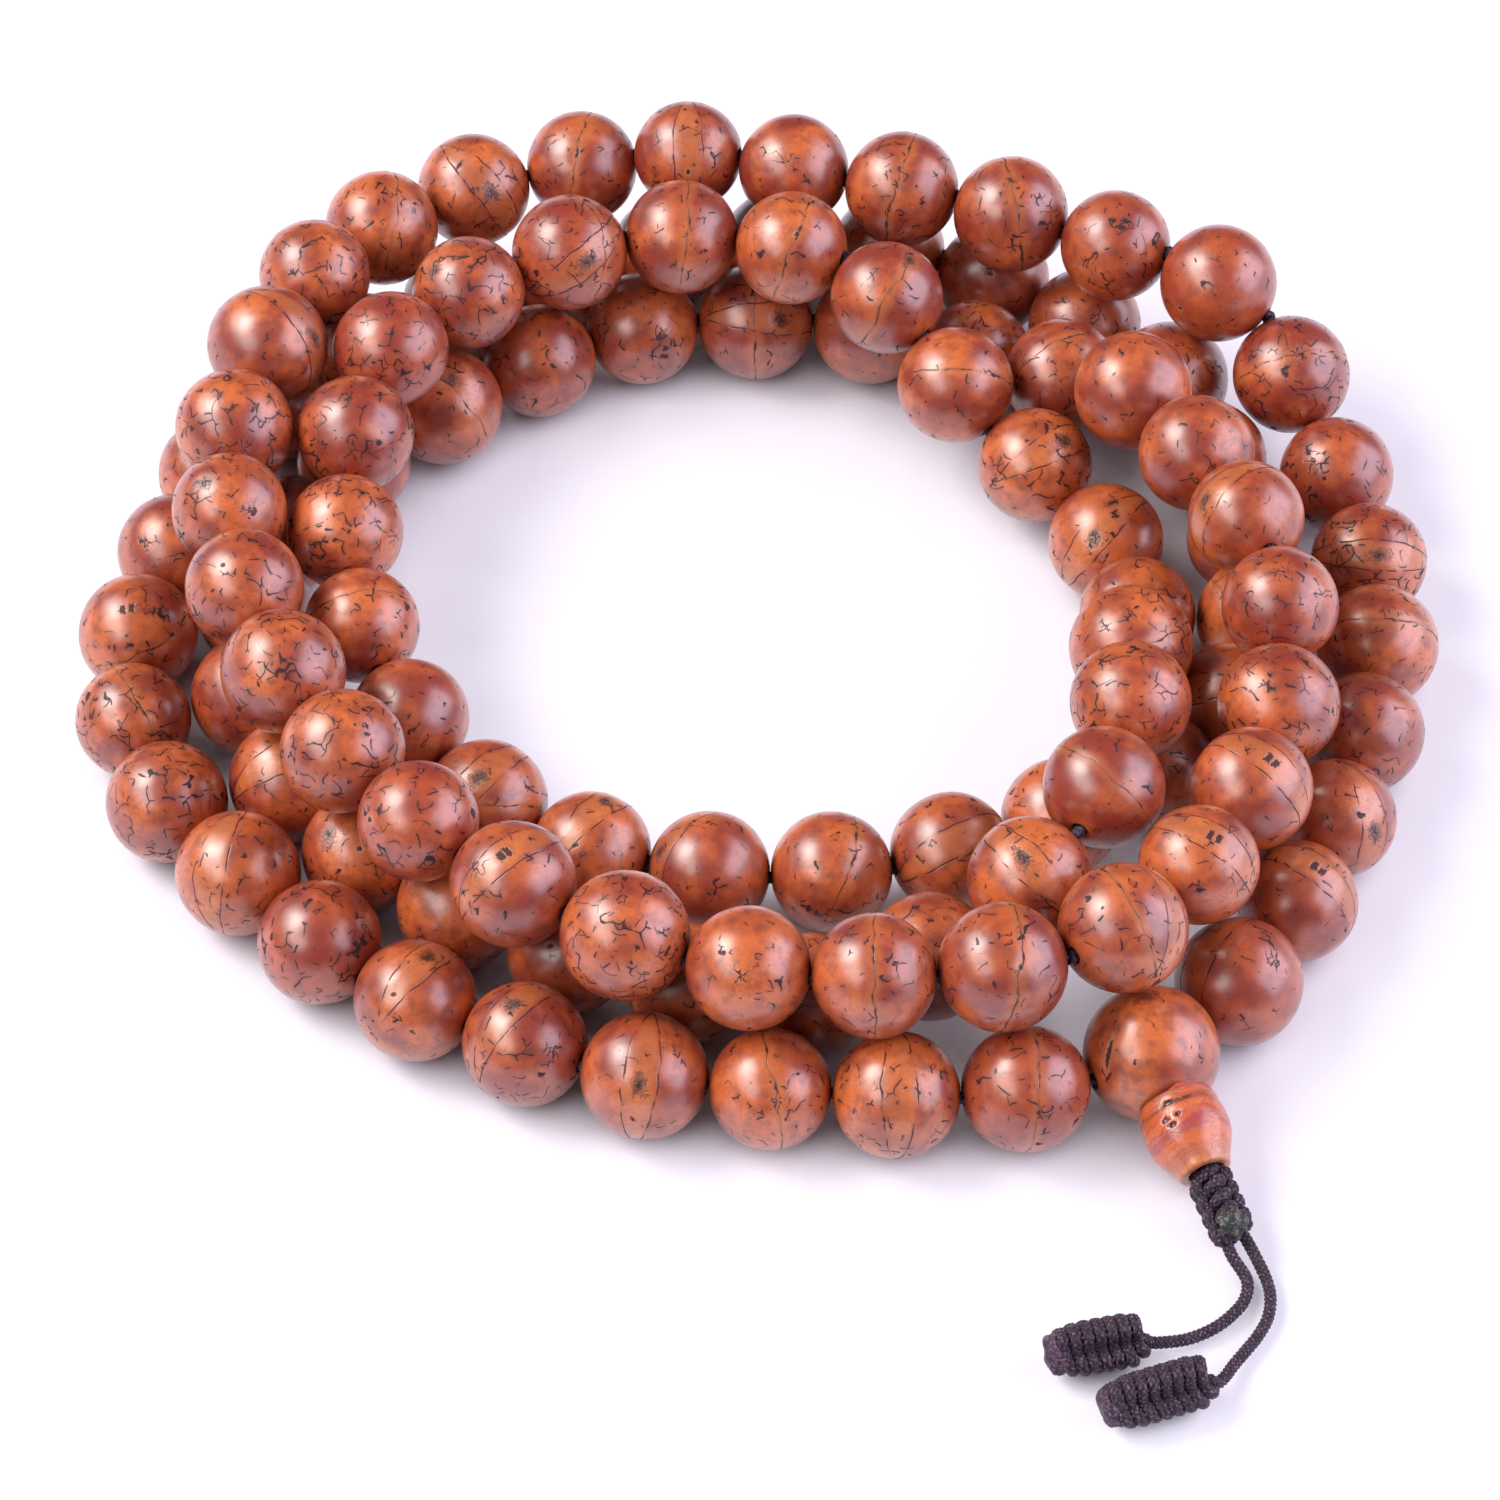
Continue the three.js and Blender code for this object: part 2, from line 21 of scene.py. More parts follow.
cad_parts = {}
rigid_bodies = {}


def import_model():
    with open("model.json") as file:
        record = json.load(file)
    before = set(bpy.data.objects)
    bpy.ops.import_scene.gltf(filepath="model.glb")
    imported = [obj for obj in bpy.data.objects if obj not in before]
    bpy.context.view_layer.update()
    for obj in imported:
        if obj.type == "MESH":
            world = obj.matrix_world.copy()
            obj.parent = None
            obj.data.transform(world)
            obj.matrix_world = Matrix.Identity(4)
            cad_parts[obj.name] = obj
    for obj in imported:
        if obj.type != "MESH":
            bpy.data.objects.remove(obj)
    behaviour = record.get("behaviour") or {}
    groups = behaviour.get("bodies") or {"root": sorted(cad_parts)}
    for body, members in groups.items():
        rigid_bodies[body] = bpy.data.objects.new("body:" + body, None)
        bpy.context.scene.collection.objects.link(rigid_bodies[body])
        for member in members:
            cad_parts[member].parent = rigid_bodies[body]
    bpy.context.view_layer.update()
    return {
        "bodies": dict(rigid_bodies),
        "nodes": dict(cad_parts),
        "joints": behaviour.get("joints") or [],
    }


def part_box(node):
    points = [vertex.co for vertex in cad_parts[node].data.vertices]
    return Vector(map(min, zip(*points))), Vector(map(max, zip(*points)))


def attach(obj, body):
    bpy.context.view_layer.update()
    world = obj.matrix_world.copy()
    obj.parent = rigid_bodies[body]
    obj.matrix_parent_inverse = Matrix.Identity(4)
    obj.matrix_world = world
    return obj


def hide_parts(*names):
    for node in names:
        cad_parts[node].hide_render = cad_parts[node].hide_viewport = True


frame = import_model()
MM = 0.001

# %% [markdown]
# ## The camera
#
# The coil is seen from the front and from rather high up, with a long lens, so that near and far
# beads come out nearly the same size. The view could be guessed by eye, but here its angles and its
# distance were worked out from the places of the beads, which makes the outline agree by itself.

# %% Place the camera
view_elevation = math.radians(47.3)
view_azimuth = math.radians(-1.46)
view_distance = 470.2 * MM
view_target = Vector((-0.30, -10.14, 5.0)) * MM
image_pixels = 1500
focal_pixels = 5592
sensor_width = 36

level = math.cos(view_elevation)
view_look = Vector((
    math.sin(view_azimuth) * level, math.cos(view_azimuth) * level, -math.sin(view_elevation),
))
view_right = Vector((math.cos(view_azimuth), -math.sin(view_azimuth), 0))
view_up = view_right.cross(view_look)
view_place = view_target - view_look * view_distance

bpy.ops.object.camera_add(location=view_place)
camera = bpy.context.object
camera.rotation_euler = Matrix((view_right, view_up, -view_look)).transposed().to_euler()
camera.data.sensor_width = sensor_width
camera.data.lens = focal_pixels / image_pixels * sensor_width
camera.data.clip_start = 0.01
bpy.context.scene.camera = camera
print("camera at", view_place, "lens", camera.data.lens)

# %% [markdown]
# ## Reading the strand from the frame
#
# The frame has the cord as one long tube with a ring of corners at each mouth of each bead's bore.
# Walking along that tube, ring by ring, gives the two mouths of every bead, and from them its
# middle, its size and the direction of its bore. The beads' places are then read and not typed.


# %% Walk along a tube of the frame
def tube_middles(node, starts):
    """Middles of the rings of a CAD tube, from the ring whose corners pass the starts test."""
    mesh = bmesh.new()
    mesh.from_mesh(frame["nodes"][node].data)
    bmesh.ops.remove_doubles(mesh, verts=mesh.verts, dist=0.001 * MM)
    layer = {corner for corner in mesh.verts if starts(corner.co)}
    walked = set()
    middles = []
    while layer:
        middles.append(sum((corner.co for corner in layer), Vector()) / len(layer))
        walked |= layer
        layer = {edge.other_vert(corner) for corner in layer for edge in corner.link_edges} - walked
    mesh.free()
    return middles


tower_joint = next(joint for joint in frame["joints"] if joint["name"] == "tower_bead_spin")
tassel_way = Vector(tower_joint["axis"]).normalized()
guru_radius = 10.9 / 2 * MM
tower_cup_radius = 5.8 / 2 * MM
fit_gap = 0.3 * MM
rim_distance = math.sqrt(guru_radius**2 - tower_cup_radius**2) + fit_gap
guru_middle = Vector(tower_joint["pos_m"]) - tassel_way * rim_distance

last_bead_way = (sum(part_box("bead_108"), Vector()) / 2 - guru_middle).normalized()
start_reach = 2.5 * MM
start_ahead = 0.3 * MM


def at_cord_start(corner):
    """The cord's first ring is near the guru bead's middle, on the side away from the last bead."""
    from_guru = corner - guru_middle
    return from_guru.length < start_reach and from_guru.dot(last_bead_way) < start_ahead


cord_middles = tube_middles("stringing_cord", at_cord_start)
bore_radius = 0.9 * MM
bead_count = 108
bead_places = {}
for index in range(1, bead_count + 1):
    mouth, far_mouth = cord_middles[2 * index - 1], cord_middles[2 * index]
    half = (far_mouth - mouth) / 2
    radius = math.hypot(half.length, bore_radius)
    bead_places[index] = ((mouth + far_mouth) / 2, half.normalized(), radius)
print("rings on the cord:", len(cord_middles), "guru at", guru_middle)

# %% [markdown]
# ## Braided cord
#
# The cord is a round braid of fine waxed yarn, 1.05 mm across. A smooth tube with a printed pattern
# would look flat along its outline, so the braid is real relief: a tube is swept along its path, and
# its radius rises over each strand and falls where two of them cross. A value stored on each corner
# tells the material where the valleys are.


# %% Sweep a braided tube along a path
braid_lay = 2.6 * MM  # along the cord, for one turn of a strand round it
valley_share = 0.34  # of the cord's radius


def even_path(points, step):
    """The same path as evenly spaced points on a smooth curve through the given ones."""
    points = [np.array(point, float) for point in points]
    padded = [2 * points[0] - points[1]] + points + [2 * points[-1] - points[-2]]
    fine = []
    for a, b, c, d in zip(padded, padded[1:], padded[2:], padded[3:]):
        pieces = max(4, int(np.linalg.norm(c - b) / step))
        for t in np.arange(pieces) / pieces:
            curve = 2 * b + (c - a) * t + (2 * a - 5 * b + 4 * c - d) * t**2
            fine.append(0.5 * (curve + (3 * b - a - 3 * c + d) * t**3))
    fine = np.array(fine + [points[-1]])
    run = np.concatenate([[0], np.cumsum(np.linalg.norm(np.diff(fine, axis=0), axis=1))])
    count = max(2, round(run[-1] / step))
    even = np.linspace(0, run[-1], count + 1)
    return np.stack([np.interp(even, run, fine[:, k]) for k in range(3)], axis=1)


def path_frames(path):
    """Directions along and square to the path, carried along it without twisting."""
    way = np.gradient(path, axis=0)
    way /= np.linalg.norm(way, axis=1)[:, None]
    side = np.cross(way[0], [0, 0, 1] if abs(way[0][2]) < 0.9 else [1, 0, 0])
    sides = []
    for w in way:
        side = side - w * side.dot(w)
        side /= np.linalg.norm(side)
        sides.append(side)
    sides = np.array(sides)
    return way, sides, np.cross(way, sides)


def braid_relief(around, along, strands):
    """Height of a round braid from 0 in its valleys to 1 on its strands."""
    left = strands * (around / math.tau + along / braid_lay)
    right = strands * (around / math.tau - along / braid_lay)
    return np.sqrt(np.abs(np.sin(math.pi * left) * np.sin(math.pi * right)))


def braided_tube(name, path, diameter, sides, step, strands=6):
    """A closed tube with the braid in its relief, along a path of points."""
    path = even_path(path, step)
    way, across, over = path_frames(path)
    along = np.arange(len(path)) * step
    angles = np.arange(sides) / sides * math.tau
    height = braid_relief(angles[None, :], along[:, None], strands)
    radius = diameter / 2 * (1 - valley_share * (1 - height))
    out = across[:, None, :] * np.cos(angles)[None, :, None]
    out = out + over[:, None, :] * np.sin(angles)[None, :, None]
    corners = (path[:, None, :] + out * radius[:, :, None]).reshape(-1, 3)
    faces = []
    last = (len(path) - 1) * sides
    for ring in range(0, last, sides):
        for s in range(sides):
            t = (s + 1) % sides
            faces.append((ring + s, ring + t, ring + sides + t, ring + sides + s))
    faces.append(tuple(reversed(range(sides))))
    faces.append(tuple(last + s for s in range(sides)))
    mesh = bpy.data.meshes.new(name)
    mesh.from_pydata(corners.tolist(), [], faces)
    mesh.shade_smooth()
    heights = mesh.attributes.new("yarn_height", "FLOAT", "POINT")
    heights.data.foreach_set("value", height.reshape(-1).astype(np.float32))
    piece = bpy.data.objects.new(name, mesh)
    bpy.context.scene.collection.objects.link(piece)
    return piece


# %% [markdown]
# ## The two tails
#
# Both ends of the strand's cord leave the tower bead side by side, run on inside the binding knot and
# come out as two free tails that curve to the left. Each ends in its own wrapped knot. A simulation
# could drop them on the table, but their curves are known, so they follow a route. They are the only
# free cords, and their real length, from inside the tower bead to inside the end knot, is worked out.
# Their routes are those of the CAD model, counted in cord diameters from the end of the binding knot.

# %% Lay the tails
cord_diameter = 1.05 * MM
tower_length = 6.5 * MM
binding_length = 6.3 * MM
neck_distance = rim_distance + tower_length
binding_start = guru_middle + tassel_way * (neck_distance + fit_gap)
binding_end = binding_start + tassel_way * binding_length

end_knot_diameter = 4.4 * MM
tail_facts = {
    "left": {
        "route": [
            (-0.6, -0.6, 0.8), (0.6, -2.6, 0.1), (0.35, -4.4, 0), (-0.8, -6, 0),
            (-2.2, -7.2, 0), (-4.1, -8.2, 0.1), (-6.5, -9, 0.7),
        ],
        "heading": math.radians(-166),
        "turns": 6.7,
        "lean": 0.35 * MM,
        "knot_length": 8.2 * MM,
        "cap_seed": 5,
    },
    "right": {
        "route": [
            (0.9, 0, 0.8), (2.05, -2.5, 0.1), (2.3, -4.3, 0), (2, -6.1, 0),
            (1.1, -7.9, 0), (-0.4, -10.1, 0.1), (-1.85, -12.5, 0.7),
        ],
        "heading": math.radians(-159),
        "turns": 7.7,
        "lean": 0.7 * MM,
        "knot_length": 9.3 * MM,
        "cap_seed": 9,
    },
}

tassel_across = Vector((0, 0, 1)).cross(tassel_way).normalized()
tassel_over = tassel_way.cross(tassel_across)
tail_sides = 36
tail_step = 0.07 * MM
tail_start = neck_distance - 2.1 * MM
hidden_distances = (tail_start, neck_distance + 2 * MM, neck_distance + 4.5 * MM)
knot_entry = 1 * MM
knot_rest = 1.2 * MM
for side, sign in (("left", -1), ("right", 1)):
    facts = tail_facts[side]
    free = []
    for x, y, height in facts["route"]:
        free.append(Vector((
            binding_end.x + x * cord_diameter,
            binding_end.y + y * cord_diameter,
            cord_diameter / 2 + fit_gap + height * cord_diameter,
        )))
    beside = tassel_across * (sign * cord_diameter / 2)
    inside = [guru_middle + tassel_way * distance + beside for distance in hidden_distances]
    knot_way = Vector((math.cos(facts["heading"]), math.sin(facts["heading"]), 0))
    knot_start = free[-1] + knot_way * 2 * fit_gap
    knot_start.z = end_knot_diameter / 2 + fit_gap
    knot_distances = (knot_entry, facts["knot_length"] - knot_rest)
    in_knot = [knot_start + knot_way * distance for distance in knot_distances]
    route = inside + free + in_knot
    tail = braided_tube(f"tail_{side}", route, cord_diameter, tail_sides, tail_step)
    line = even_path(route, 0.5 * MM)
    facts.update(piece=tail, line=line, knot_start=knot_start, knot_way=knot_way)
    facts["length"] = float(np.linalg.norm(np.diff(line, axis=0), axis=1).sum())
    print("tail", side, "is", round(facts["length"] / MM, 1), "mm long")

# %% [markdown]
# ## Wrapped end knots
#
# An end knot is the tail folded on itself and wrapped by its own end. Seen from the front it has two
# columns of bulges that meet in a zigzag valley. The turns could be rings side by side, but a real
# wrapping climbs, so one long cord is wound here round a flat core. Its path dips in at the middle of
# the front and back, and it leans forward there, which gives the chevrons. The far end is a lump of
# melted yarn.

# %% Wind the end knots
wrap_diameter = 1.1 * MM
wrap_half_width = 1.64 * MM
wrap_half_depth = 2.1 * MM
wrap_dip = 0.64
valley_shift = 0.15
steps_per_turn = 24
cap_room = 0.65 * MM
core_half_width = 1.6 * MM
core_half_depth = 0.75 * MM
core_inset = 0.45 * MM
cap_sizes = (1.7 * MM, 1.45 * MM, 1.2 * MM)
cap_inset = 1.15 * MM
knot_sides = 26
knot_step = 0.09 * MM


def wound_path(turns, length, lean):
    """A winding round the Z axis with a valley along its front and back, drawn in at its ends."""
    points = []
    for step in range(int(turns * steps_per_turn) + 1):
        turn = step / steps_per_turn
        angle = turn * math.tau
        valley = abs(math.sin(angle + valley_shift)) ** 5
        rise = (length - wrap_diameter) * turn / turns + wrap_diameter / 2
        rise += lean * abs(math.sin(angle)) - lean / 2
        first_turn = 0.35 * (1 - min(turn / 0.9, 1)) ** 1.5
        last_turns = 0.2 * (1 - min((turns - turn) / 2, 1)) ** 2
        swell = 1 - first_turn - last_turns
        width = wrap_half_width * math.cos(angle) * swell
        depth = wrap_half_depth * math.sin(angle) * (1 - wrap_dip * valley) * swell
        points.append(Vector((width, depth, rise)))
    return points


def stand_at(piece, start, way, front):
    """Lays a piece that was built along Z at its place, with its own +Y side to the front."""
    across = front.cross(way).normalized()
    over = way.cross(across)
    turn = Matrix((across, over, way)).transposed().to_4x4()
    piece.data.transform(Matrix.Translation(start) @ turn)


def only(*pieces):
    """Nothing else is selected, and the first piece is the active one."""
    bpy.ops.object.select_all(action="DESELECT")
    for piece in pieces:
        piece.select_set(True)
    bpy.context.view_layer.objects.active = pieces[0]


def joined(name, *pieces):
    """Several pieces made one, with a new name."""
    only(*pieces)
    if len(pieces) > 1:
        bpy.ops.object.join()
    piece = bpy.context.object
    piece.name = name
    piece.data.name = name
    return piece


def melted_lump(name, middle, sizes, seed, detail=4, lumpiness=0.12):
    """A blob of melted yarn: a ball pulled to its half sizes, with noise in its surface."""
    bpy.ops.object.select_all(action="DESELECT")
    bpy.ops.mesh.primitive_ico_sphere_add(subdivisions=detail, radius=1)
    lump = bpy.context.object
    lump.name = name
    for corner in lump.data.vertices:
        spot = corner.co * 1.6 + Vector((seed, 2 * seed, 0))
        swell = 1 + lumpiness * noise.noise(spot) * 2 + lumpiness / 2 * noise.noise(spot * 3)
        corner.co = Vector(middle) + Vector(c * s for c, s in zip(corner.co * swell, sizes))
    lump.data.shade_smooth()
    heights = lump.data.attributes.new("yarn_height", "FLOAT", "POINT")
    heights.data.foreach_set("value", [0.75] * len(lump.data.vertices))
    return lump


knot_front = Vector((0, -math.cos(view_elevation), math.sin(view_elevation)))
for side, facts in tail_facts.items():
    length = facts["knot_length"]
    path = wound_path(facts["turns"], length - cap_room, facts["lean"])
    winding = braided_tube(f"winding_{side}", path, wrap_diameter, knot_sides, knot_step)
    core_sizes = (core_half_width, core_half_depth, length / 2 - core_inset)
    core = melted_lump("core", (0, 0, length / 2), core_sizes, seed=1, detail=3)
    cap = melted_lump("cap", (0, 0, length - cap_inset), cap_sizes, seed=facts["cap_seed"])
    knot = joined(f"end_knot_{side}", winding, core, cap)
    stand_at(knot, facts["knot_start"], facts["knot_way"], knot_front)
    facts["knot"] = knot
    print(knot.name, "has", len(knot.data.polygons), "faces")

# %% [markdown]
# ## Binding knot
#
# The binding knot is a flat sinnet: one cord tied round the two legs again and again. Its front shows
# a ladder of short slanting bars between two columns of bumps, where the cord turns back at either
# edge. The last loop is thicker, and the cut ends are melted into a dark glossy lump on its front. The
# whole knot could be one cord on a very long path, but its turns are alike, so each bar is a loop of
# the braided cord and each bump an arc of it. Their valleys are real.

# %% Tie the binding knot
binding_bars = 5
bar_slant = math.radians(27)
bar_diameter = 1.15 * MM
edge_diameter = bar_diameter * 0.85
knot_lead = 0.6 * MM
bar_pitch = (binding_length + knot_lead - bar_diameter) / (binding_bars - 0.4)
loop_steps = 24
arc_steps = 8


def bar_loop(rise, width, depth):
    """One loop round the two legs. Its bar slants on the front, and less on the back."""
    loop = []
    for step in range(loop_steps + 1):
        angle = step / loop_steps * math.tau - math.pi / 2
        slant = math.tan(bar_slant) * width * math.cos(angle) * (1 if math.sin(angle) > 0 else 0.3)
        loop.append(Vector((width * math.cos(angle), depth * math.sin(angle), rise - slant)))
    return loop


def edge_arc(rise, edge, face):
    """The arc of the cord where it turns back at one edge, on the front or the back."""
    arc = []
    for step in range(arc_steps + 1):
        angle = step / arc_steps * math.pi - math.pi / 2
        out = 0.8 * MM + 0.58 * MM * math.cos(angle)
        over = face * (0.12 * MM + 0.36 * MM * math.cos(angle))
        along = rise + (0.62 - edge * 0.2 + 0.5 * math.sin(angle)) * bar_pitch
        arc.append(Vector((edge * out, over, along)))
    return arc


bar_pieces = []
for bar in range(binding_bars):
    first_bar, last_bar = bar == 0, bar == binding_bars - 1
    rise = bar_diameter / 2 - knot_lead + bar * bar_pitch
    loop = bar_loop(rise, (1.2 if last_bar else 0.72) * MM, (0.72 if first_bar else 1.05) * MM)
    thick = bar_diameter * (1.15 if last_bar else 1)
    bar_pieces.append(braided_tube(f"bar_{bar}", loop, thick, knot_sides, knot_step))
    if not last_bar:
        for edge, face in ((-1, -1), (-1, 1), (1, -1), (1, 1)):
            arc = edge_arc(rise, edge, face)
            bar_pieces.append(braided_tube(f"edge_{bar}", arc, edge_diameter, knot_sides, knot_step))
filling_sizes = (1.1 * MM, 0.7 * MM, binding_length / 2 - 0.2 * MM)
filling = melted_lump("filling", (0, 0, binding_length / 2), filling_sizes, seed=3, detail=3)
binding_knot = joined("binding_knot", *bar_pieces, filling)

melted_place = (-0.1 * MM, 1.35 * MM, binding_length - 1.35 * MM)
melted_sizes = (1.15 * MM, 0.75 * MM, 1.1 * MM)
melted_end = melted_lump("melted_end", melted_place, melted_sizes, seed=14, detail=5, lumpiness=0.2)
for piece in (binding_knot, melted_end):
    stand_at(piece, binding_start, tassel_way, tassel_over)
print("binding knot has", len(binding_knot.data.polygons), "faces")

# %% [markdown]
# ## The stringing cord and its two legs
#
# One cord runs through all the beads. Only a little of it shows, where two beads stand a hair apart,
# but it is there in full, as on the real strand. Inside the guru bead it turns and both of its ends
# leave side by side through the tower bead.

# %% Thread the cord
string_sides = 12
string_step = 0.3 * MM
string_strands = 3
leg_diameter = cord_diameter * 0.98
leg_distances = np.linspace(1.9 * MM, tail_start + 0.1 * MM, 6)
stringing_cord = braided_tube(
    "stringing_cord_braid", cord_middles, cord_diameter, string_sides, string_step, string_strands
)
legs = []
for sign in (-1, 1):
    beside = tassel_across * (sign * cord_diameter / 2)
    leg = [guru_middle + tassel_way * distance + beside for distance in leg_distances]
    legs.append(braided_tube(f"leg_{sign}", leg, leg_diameter, string_sides, string_step, string_strands))
cord_pair = joined("cord_pair_braid", *legs)
print("stringing cord has", len(stringing_cord.data.polygons), "faces")

# %% [markdown]
# ## One seed bead
#
# Each seed is turned round, bored from end to end and polished. All of them share one form, so it is
# modelled once: a ball has its two end caps deleted, the open rims are bridged to make the bore, and
# the sharp rims are bevelled, as polishing rounds them. A cylinder cut with a Boolean would give the
# same bore, but with uneven faces round its mouth.

# %% Model the seed bead
seed_segments = 64
seed_rings = 48
capped_rings = 2
mouth_angle = math.pi / seed_rings * capped_rings
mouth_width, mouth_height = math.sin(mouth_angle), math.cos(mouth_angle)
tiny = 1e-4
bpy.ops.object.select_all(action="DESELECT")
bpy.ops.mesh.primitive_uv_sphere_add(segments=seed_segments, ring_count=seed_rings, radius=1)
seed_form = bpy.context.object
seed_form.name = "seed_form"


def select_where(piece, kind, wanted):
    """In edit mode, just the faces or edges are selected whose corners pass the wanted test."""
    bpy.ops.object.mode_set(mode="EDIT")
    bpy.ops.mesh.select_mode(type=kind)
    bpy.ops.mesh.select_all(action="DESELECT")
    bpy.ops.object.mode_set(mode="OBJECT")
    corners = piece.data.vertices
    for item in piece.data.polygons if kind == "FACE" else piece.data.edges:
        item.select = wanted(*(corners[i].co for i in item.vertices))
    bpy.ops.object.mode_set(mode="EDIT")


def in_cap(*corners):
    """All corners lie in one of the caps that the drill takes off the ball."""
    return all(abs(c.z) > mouth_height - tiny for c in corners)


def on_mouth(*corners):
    """Both corners lie on the rim of the bore, where the ball was cut."""
    return in_cap(*corners) and all(abs(math.hypot(c.x, c.y) - mouth_width) < tiny for c in corners)


select_where(seed_form, "FACE", in_cap)
bpy.ops.mesh.delete(type="FACE")
select_where(seed_form, "EDGE", on_mouth)
bpy.ops.mesh.bridge_edge_loops(number_cuts=3)
select_where(seed_form, "EDGE", on_mouth)
bpy.ops.mesh.bevel(offset=0.035, segments=3, affect="EDGES")
bpy.ops.mesh.select_all(action="SELECT")
bpy.ops.mesh.normals_make_consistent(inside=False)
bpy.ops.object.mode_set(mode="OBJECT")
seed_form.data.shade_smooth()
print("seed form has", len(seed_form.data.polygons), "faces")

# %% [markdown]
# ## Marks of the seeds
#
# No two seeds are alike. Many show the lens-shaped band and the scar where the seed hung, others a
# seam, a pit or a star of short cracks. Noise alone could scatter such marks, but large ones catch the
# eye, so two tables give those that face up: the bead's number, the kind of mark, where it lies on the
# disc that the viewer sees, from -1 to 1 to the right and upwards, and how far its band is turned, in
# degrees. Bead 0 is the guru bead, and the others get their marks from the dice, or none. Each bead
# stores two little maps of its own surface, one centred on its scar and one on its seam, and the
# material draws the marks on them.

# %% List the marks
scar_marks = {
    0: ("patch", -0.07, 0.82, 10), 2: ("band", 0.05, 0, 90), 4: ("band patch", -0.08, -0.15, 82),
    5: ("band patch", -0.18, 0.63, 55), 6: ("band patch", 0.22, 0.73, 55), 8: ("band", -0.45, 0.1, 80),
    11: ("twin", -0.18, 0.42, 0), 30: ("band", 0.1, 0.2, 30), 33: ("band patch", 0.25, 0.85, 60),
    34: ("band patch", -0.1, 0.4, 50), 44: ("patch", 0.41, 0.67, 60), 46: ("band patch", 0.52, 0.42, 30),
    47: ("band patch", -0.2, 0.07, 48), 52: ("band patch", -0.12, 0.35, -48),
    59: ("band patch", 0, 0.45, 25), 64: ("patch", 0.14, 0.45, -45), 66: ("twin", 0.4, -0.42, 90),
    73: ("band patch", -0.7, 0.3, 50), 76: ("band twin", 0.34, 0.46, -42),
    77: ("band twin", 0.26, 0.47, -35), 83: ("band twin", -0.13, 0.48, 42),
    88: ("patch", -0.43, 0.49, 25), 90: ("band patch", 0.77, 0.13, -50),
    93: ("band patch", 0.32, -0.05, -50), 95: ("band", 0, 0.1, 90), 99: ("twin", 0.14, 0.38, 60),
    107: ("band twin", 0.35, 0.54, -38),
}
seam_marks = {
    0: ("groove pit", -0.62, 0.0, 72), 1: ("suture", 0.2, 0, 88), 3: ("suture star", 0.1, -0.2, -80),
    5: ("star", 0.45, -0.1, 0), 6: ("pit", -0.35, 0.1, 0), 10: ("suture", 0.3, -0.1, -65),
    31: ("suture", 0.4, 0.5, 70), 32: ("star", 0, 0.8, 0), 33: ("pit", -0.27, 0.1, 0),
    35: ("pit", -0.4, 0.25, 0), 36: ("suture", 0, 0.6, 10), 42: ("suture", 0.1, 0.2, 85),
    43: ("suture pit", 0.1, 0.25, 70), 44: ("suture", 0.2, 0.3, 60), 51: ("suture", 0.2, 0.1, -40),
    56: ("pit", -0.3, 0.1, 0), 58: ("pit", -0.05, 0.05, 0), 64: ("suture", 0.14, 0.3, -45),
    67: ("suture", 0, 0.1, 90), 74: ("star", 0.07, 0.55, 0), 78: ("suture", 0.3, 0, -65),
    79: ("suture pit", 0.28, 0, 85), 80: ("suture", 0, 0.1, 90), 81: ("star", -0.1, -0.12, 0),
    87: ("pit", -0.35, 0.4, 0), 92: ("suture", 0.25, 0, 80), 94: ("suture pit", -0.1, 0.2, 80),
    95: ("pit", 0, -0.33, 90), 97: ("suture", -0.1, 0, 75), 98: ("suture", 0.1, 0.1, 100),
    100: ("pit", -0.65, -0.43, 0), 101: ("suture star", 0.1, 0.35, 15), 102: ("star", -0.4, 0.2, 0),
    103: ("pit", -0.3, 0.53, 0), 104: ("suture", 0, 0.45, 0), 108: ("star", 0.57, 0.34, 0),
}
reddish_beads = {1, 7, 39, 41, 84, 100, 108}
well_cracked_beads = {7, 9, 10, 37, 38, 39, 40, 41, 50, 75, 82, 84, 85, 86, 87, 89, 91, 101, 103}
print(len(scar_marks), "scars and", len(seam_marks), "seams are placed by hand")

# %% [markdown]
# ## All 108 seeds and the guru bead
#
# The form is copied for each place on the strand. Plain copies would look cast in one mould, so each
# is scaled to its bead, made a little oval and uneven with low waves that fade towards the bore,
# dented at its marks, and turned so that its bore lies along the cord. Beads that turn by themselves
# are pieces of their own. Those that the frame holds together in a run become one piece, in which
# they still stand apart.


# %% Shape one bead
form_corners = np.array([corner.co for corner in seed_form.data.vertices], float)
dice = random.Random(108)
wave_scale = 1.1
wave_height = 0.014

# For each map: its table, the words its material knows, what the dice may throw, and how often they do
mark_maps = {
    "scar": (scar_marks, ("band", "patch", "twin"), ("band patch", "patch", "band", "twin"), 0.25),
    "seam": (seam_marks, ("suture", "star", "pit"), ("suture", "star", "pit", "suture pit"), 0.3),
}
# Dents and lines are in shares of the bead's radius
dent_depths = {"patch": 0.012, "twin": 0.010, "pit": 0.012}
dent_width = 0.14
line_depth = 0.006
line_width = 0.07
groove_stretch = 4


def mark_frame(middle, right, up, turn_deg):
    """Axes of a mark on a bead: along its band, across it and out of the bead."""
    back = (view_place - middle).normalized()
    side = (view_right - back * view_right.dot(back)).normalized()
    top = back.cross(side)
    out = side * right + top * up + back * math.sqrt(max(0.0, 1 - right * right - up * up))
    out.normalize()
    turn = math.radians(turn_deg)
    along = side * math.cos(turn) + top * math.sin(turn)
    along = (along - out * along.dot(out)).normalized()
    return np.array([along, out.cross(along), out])


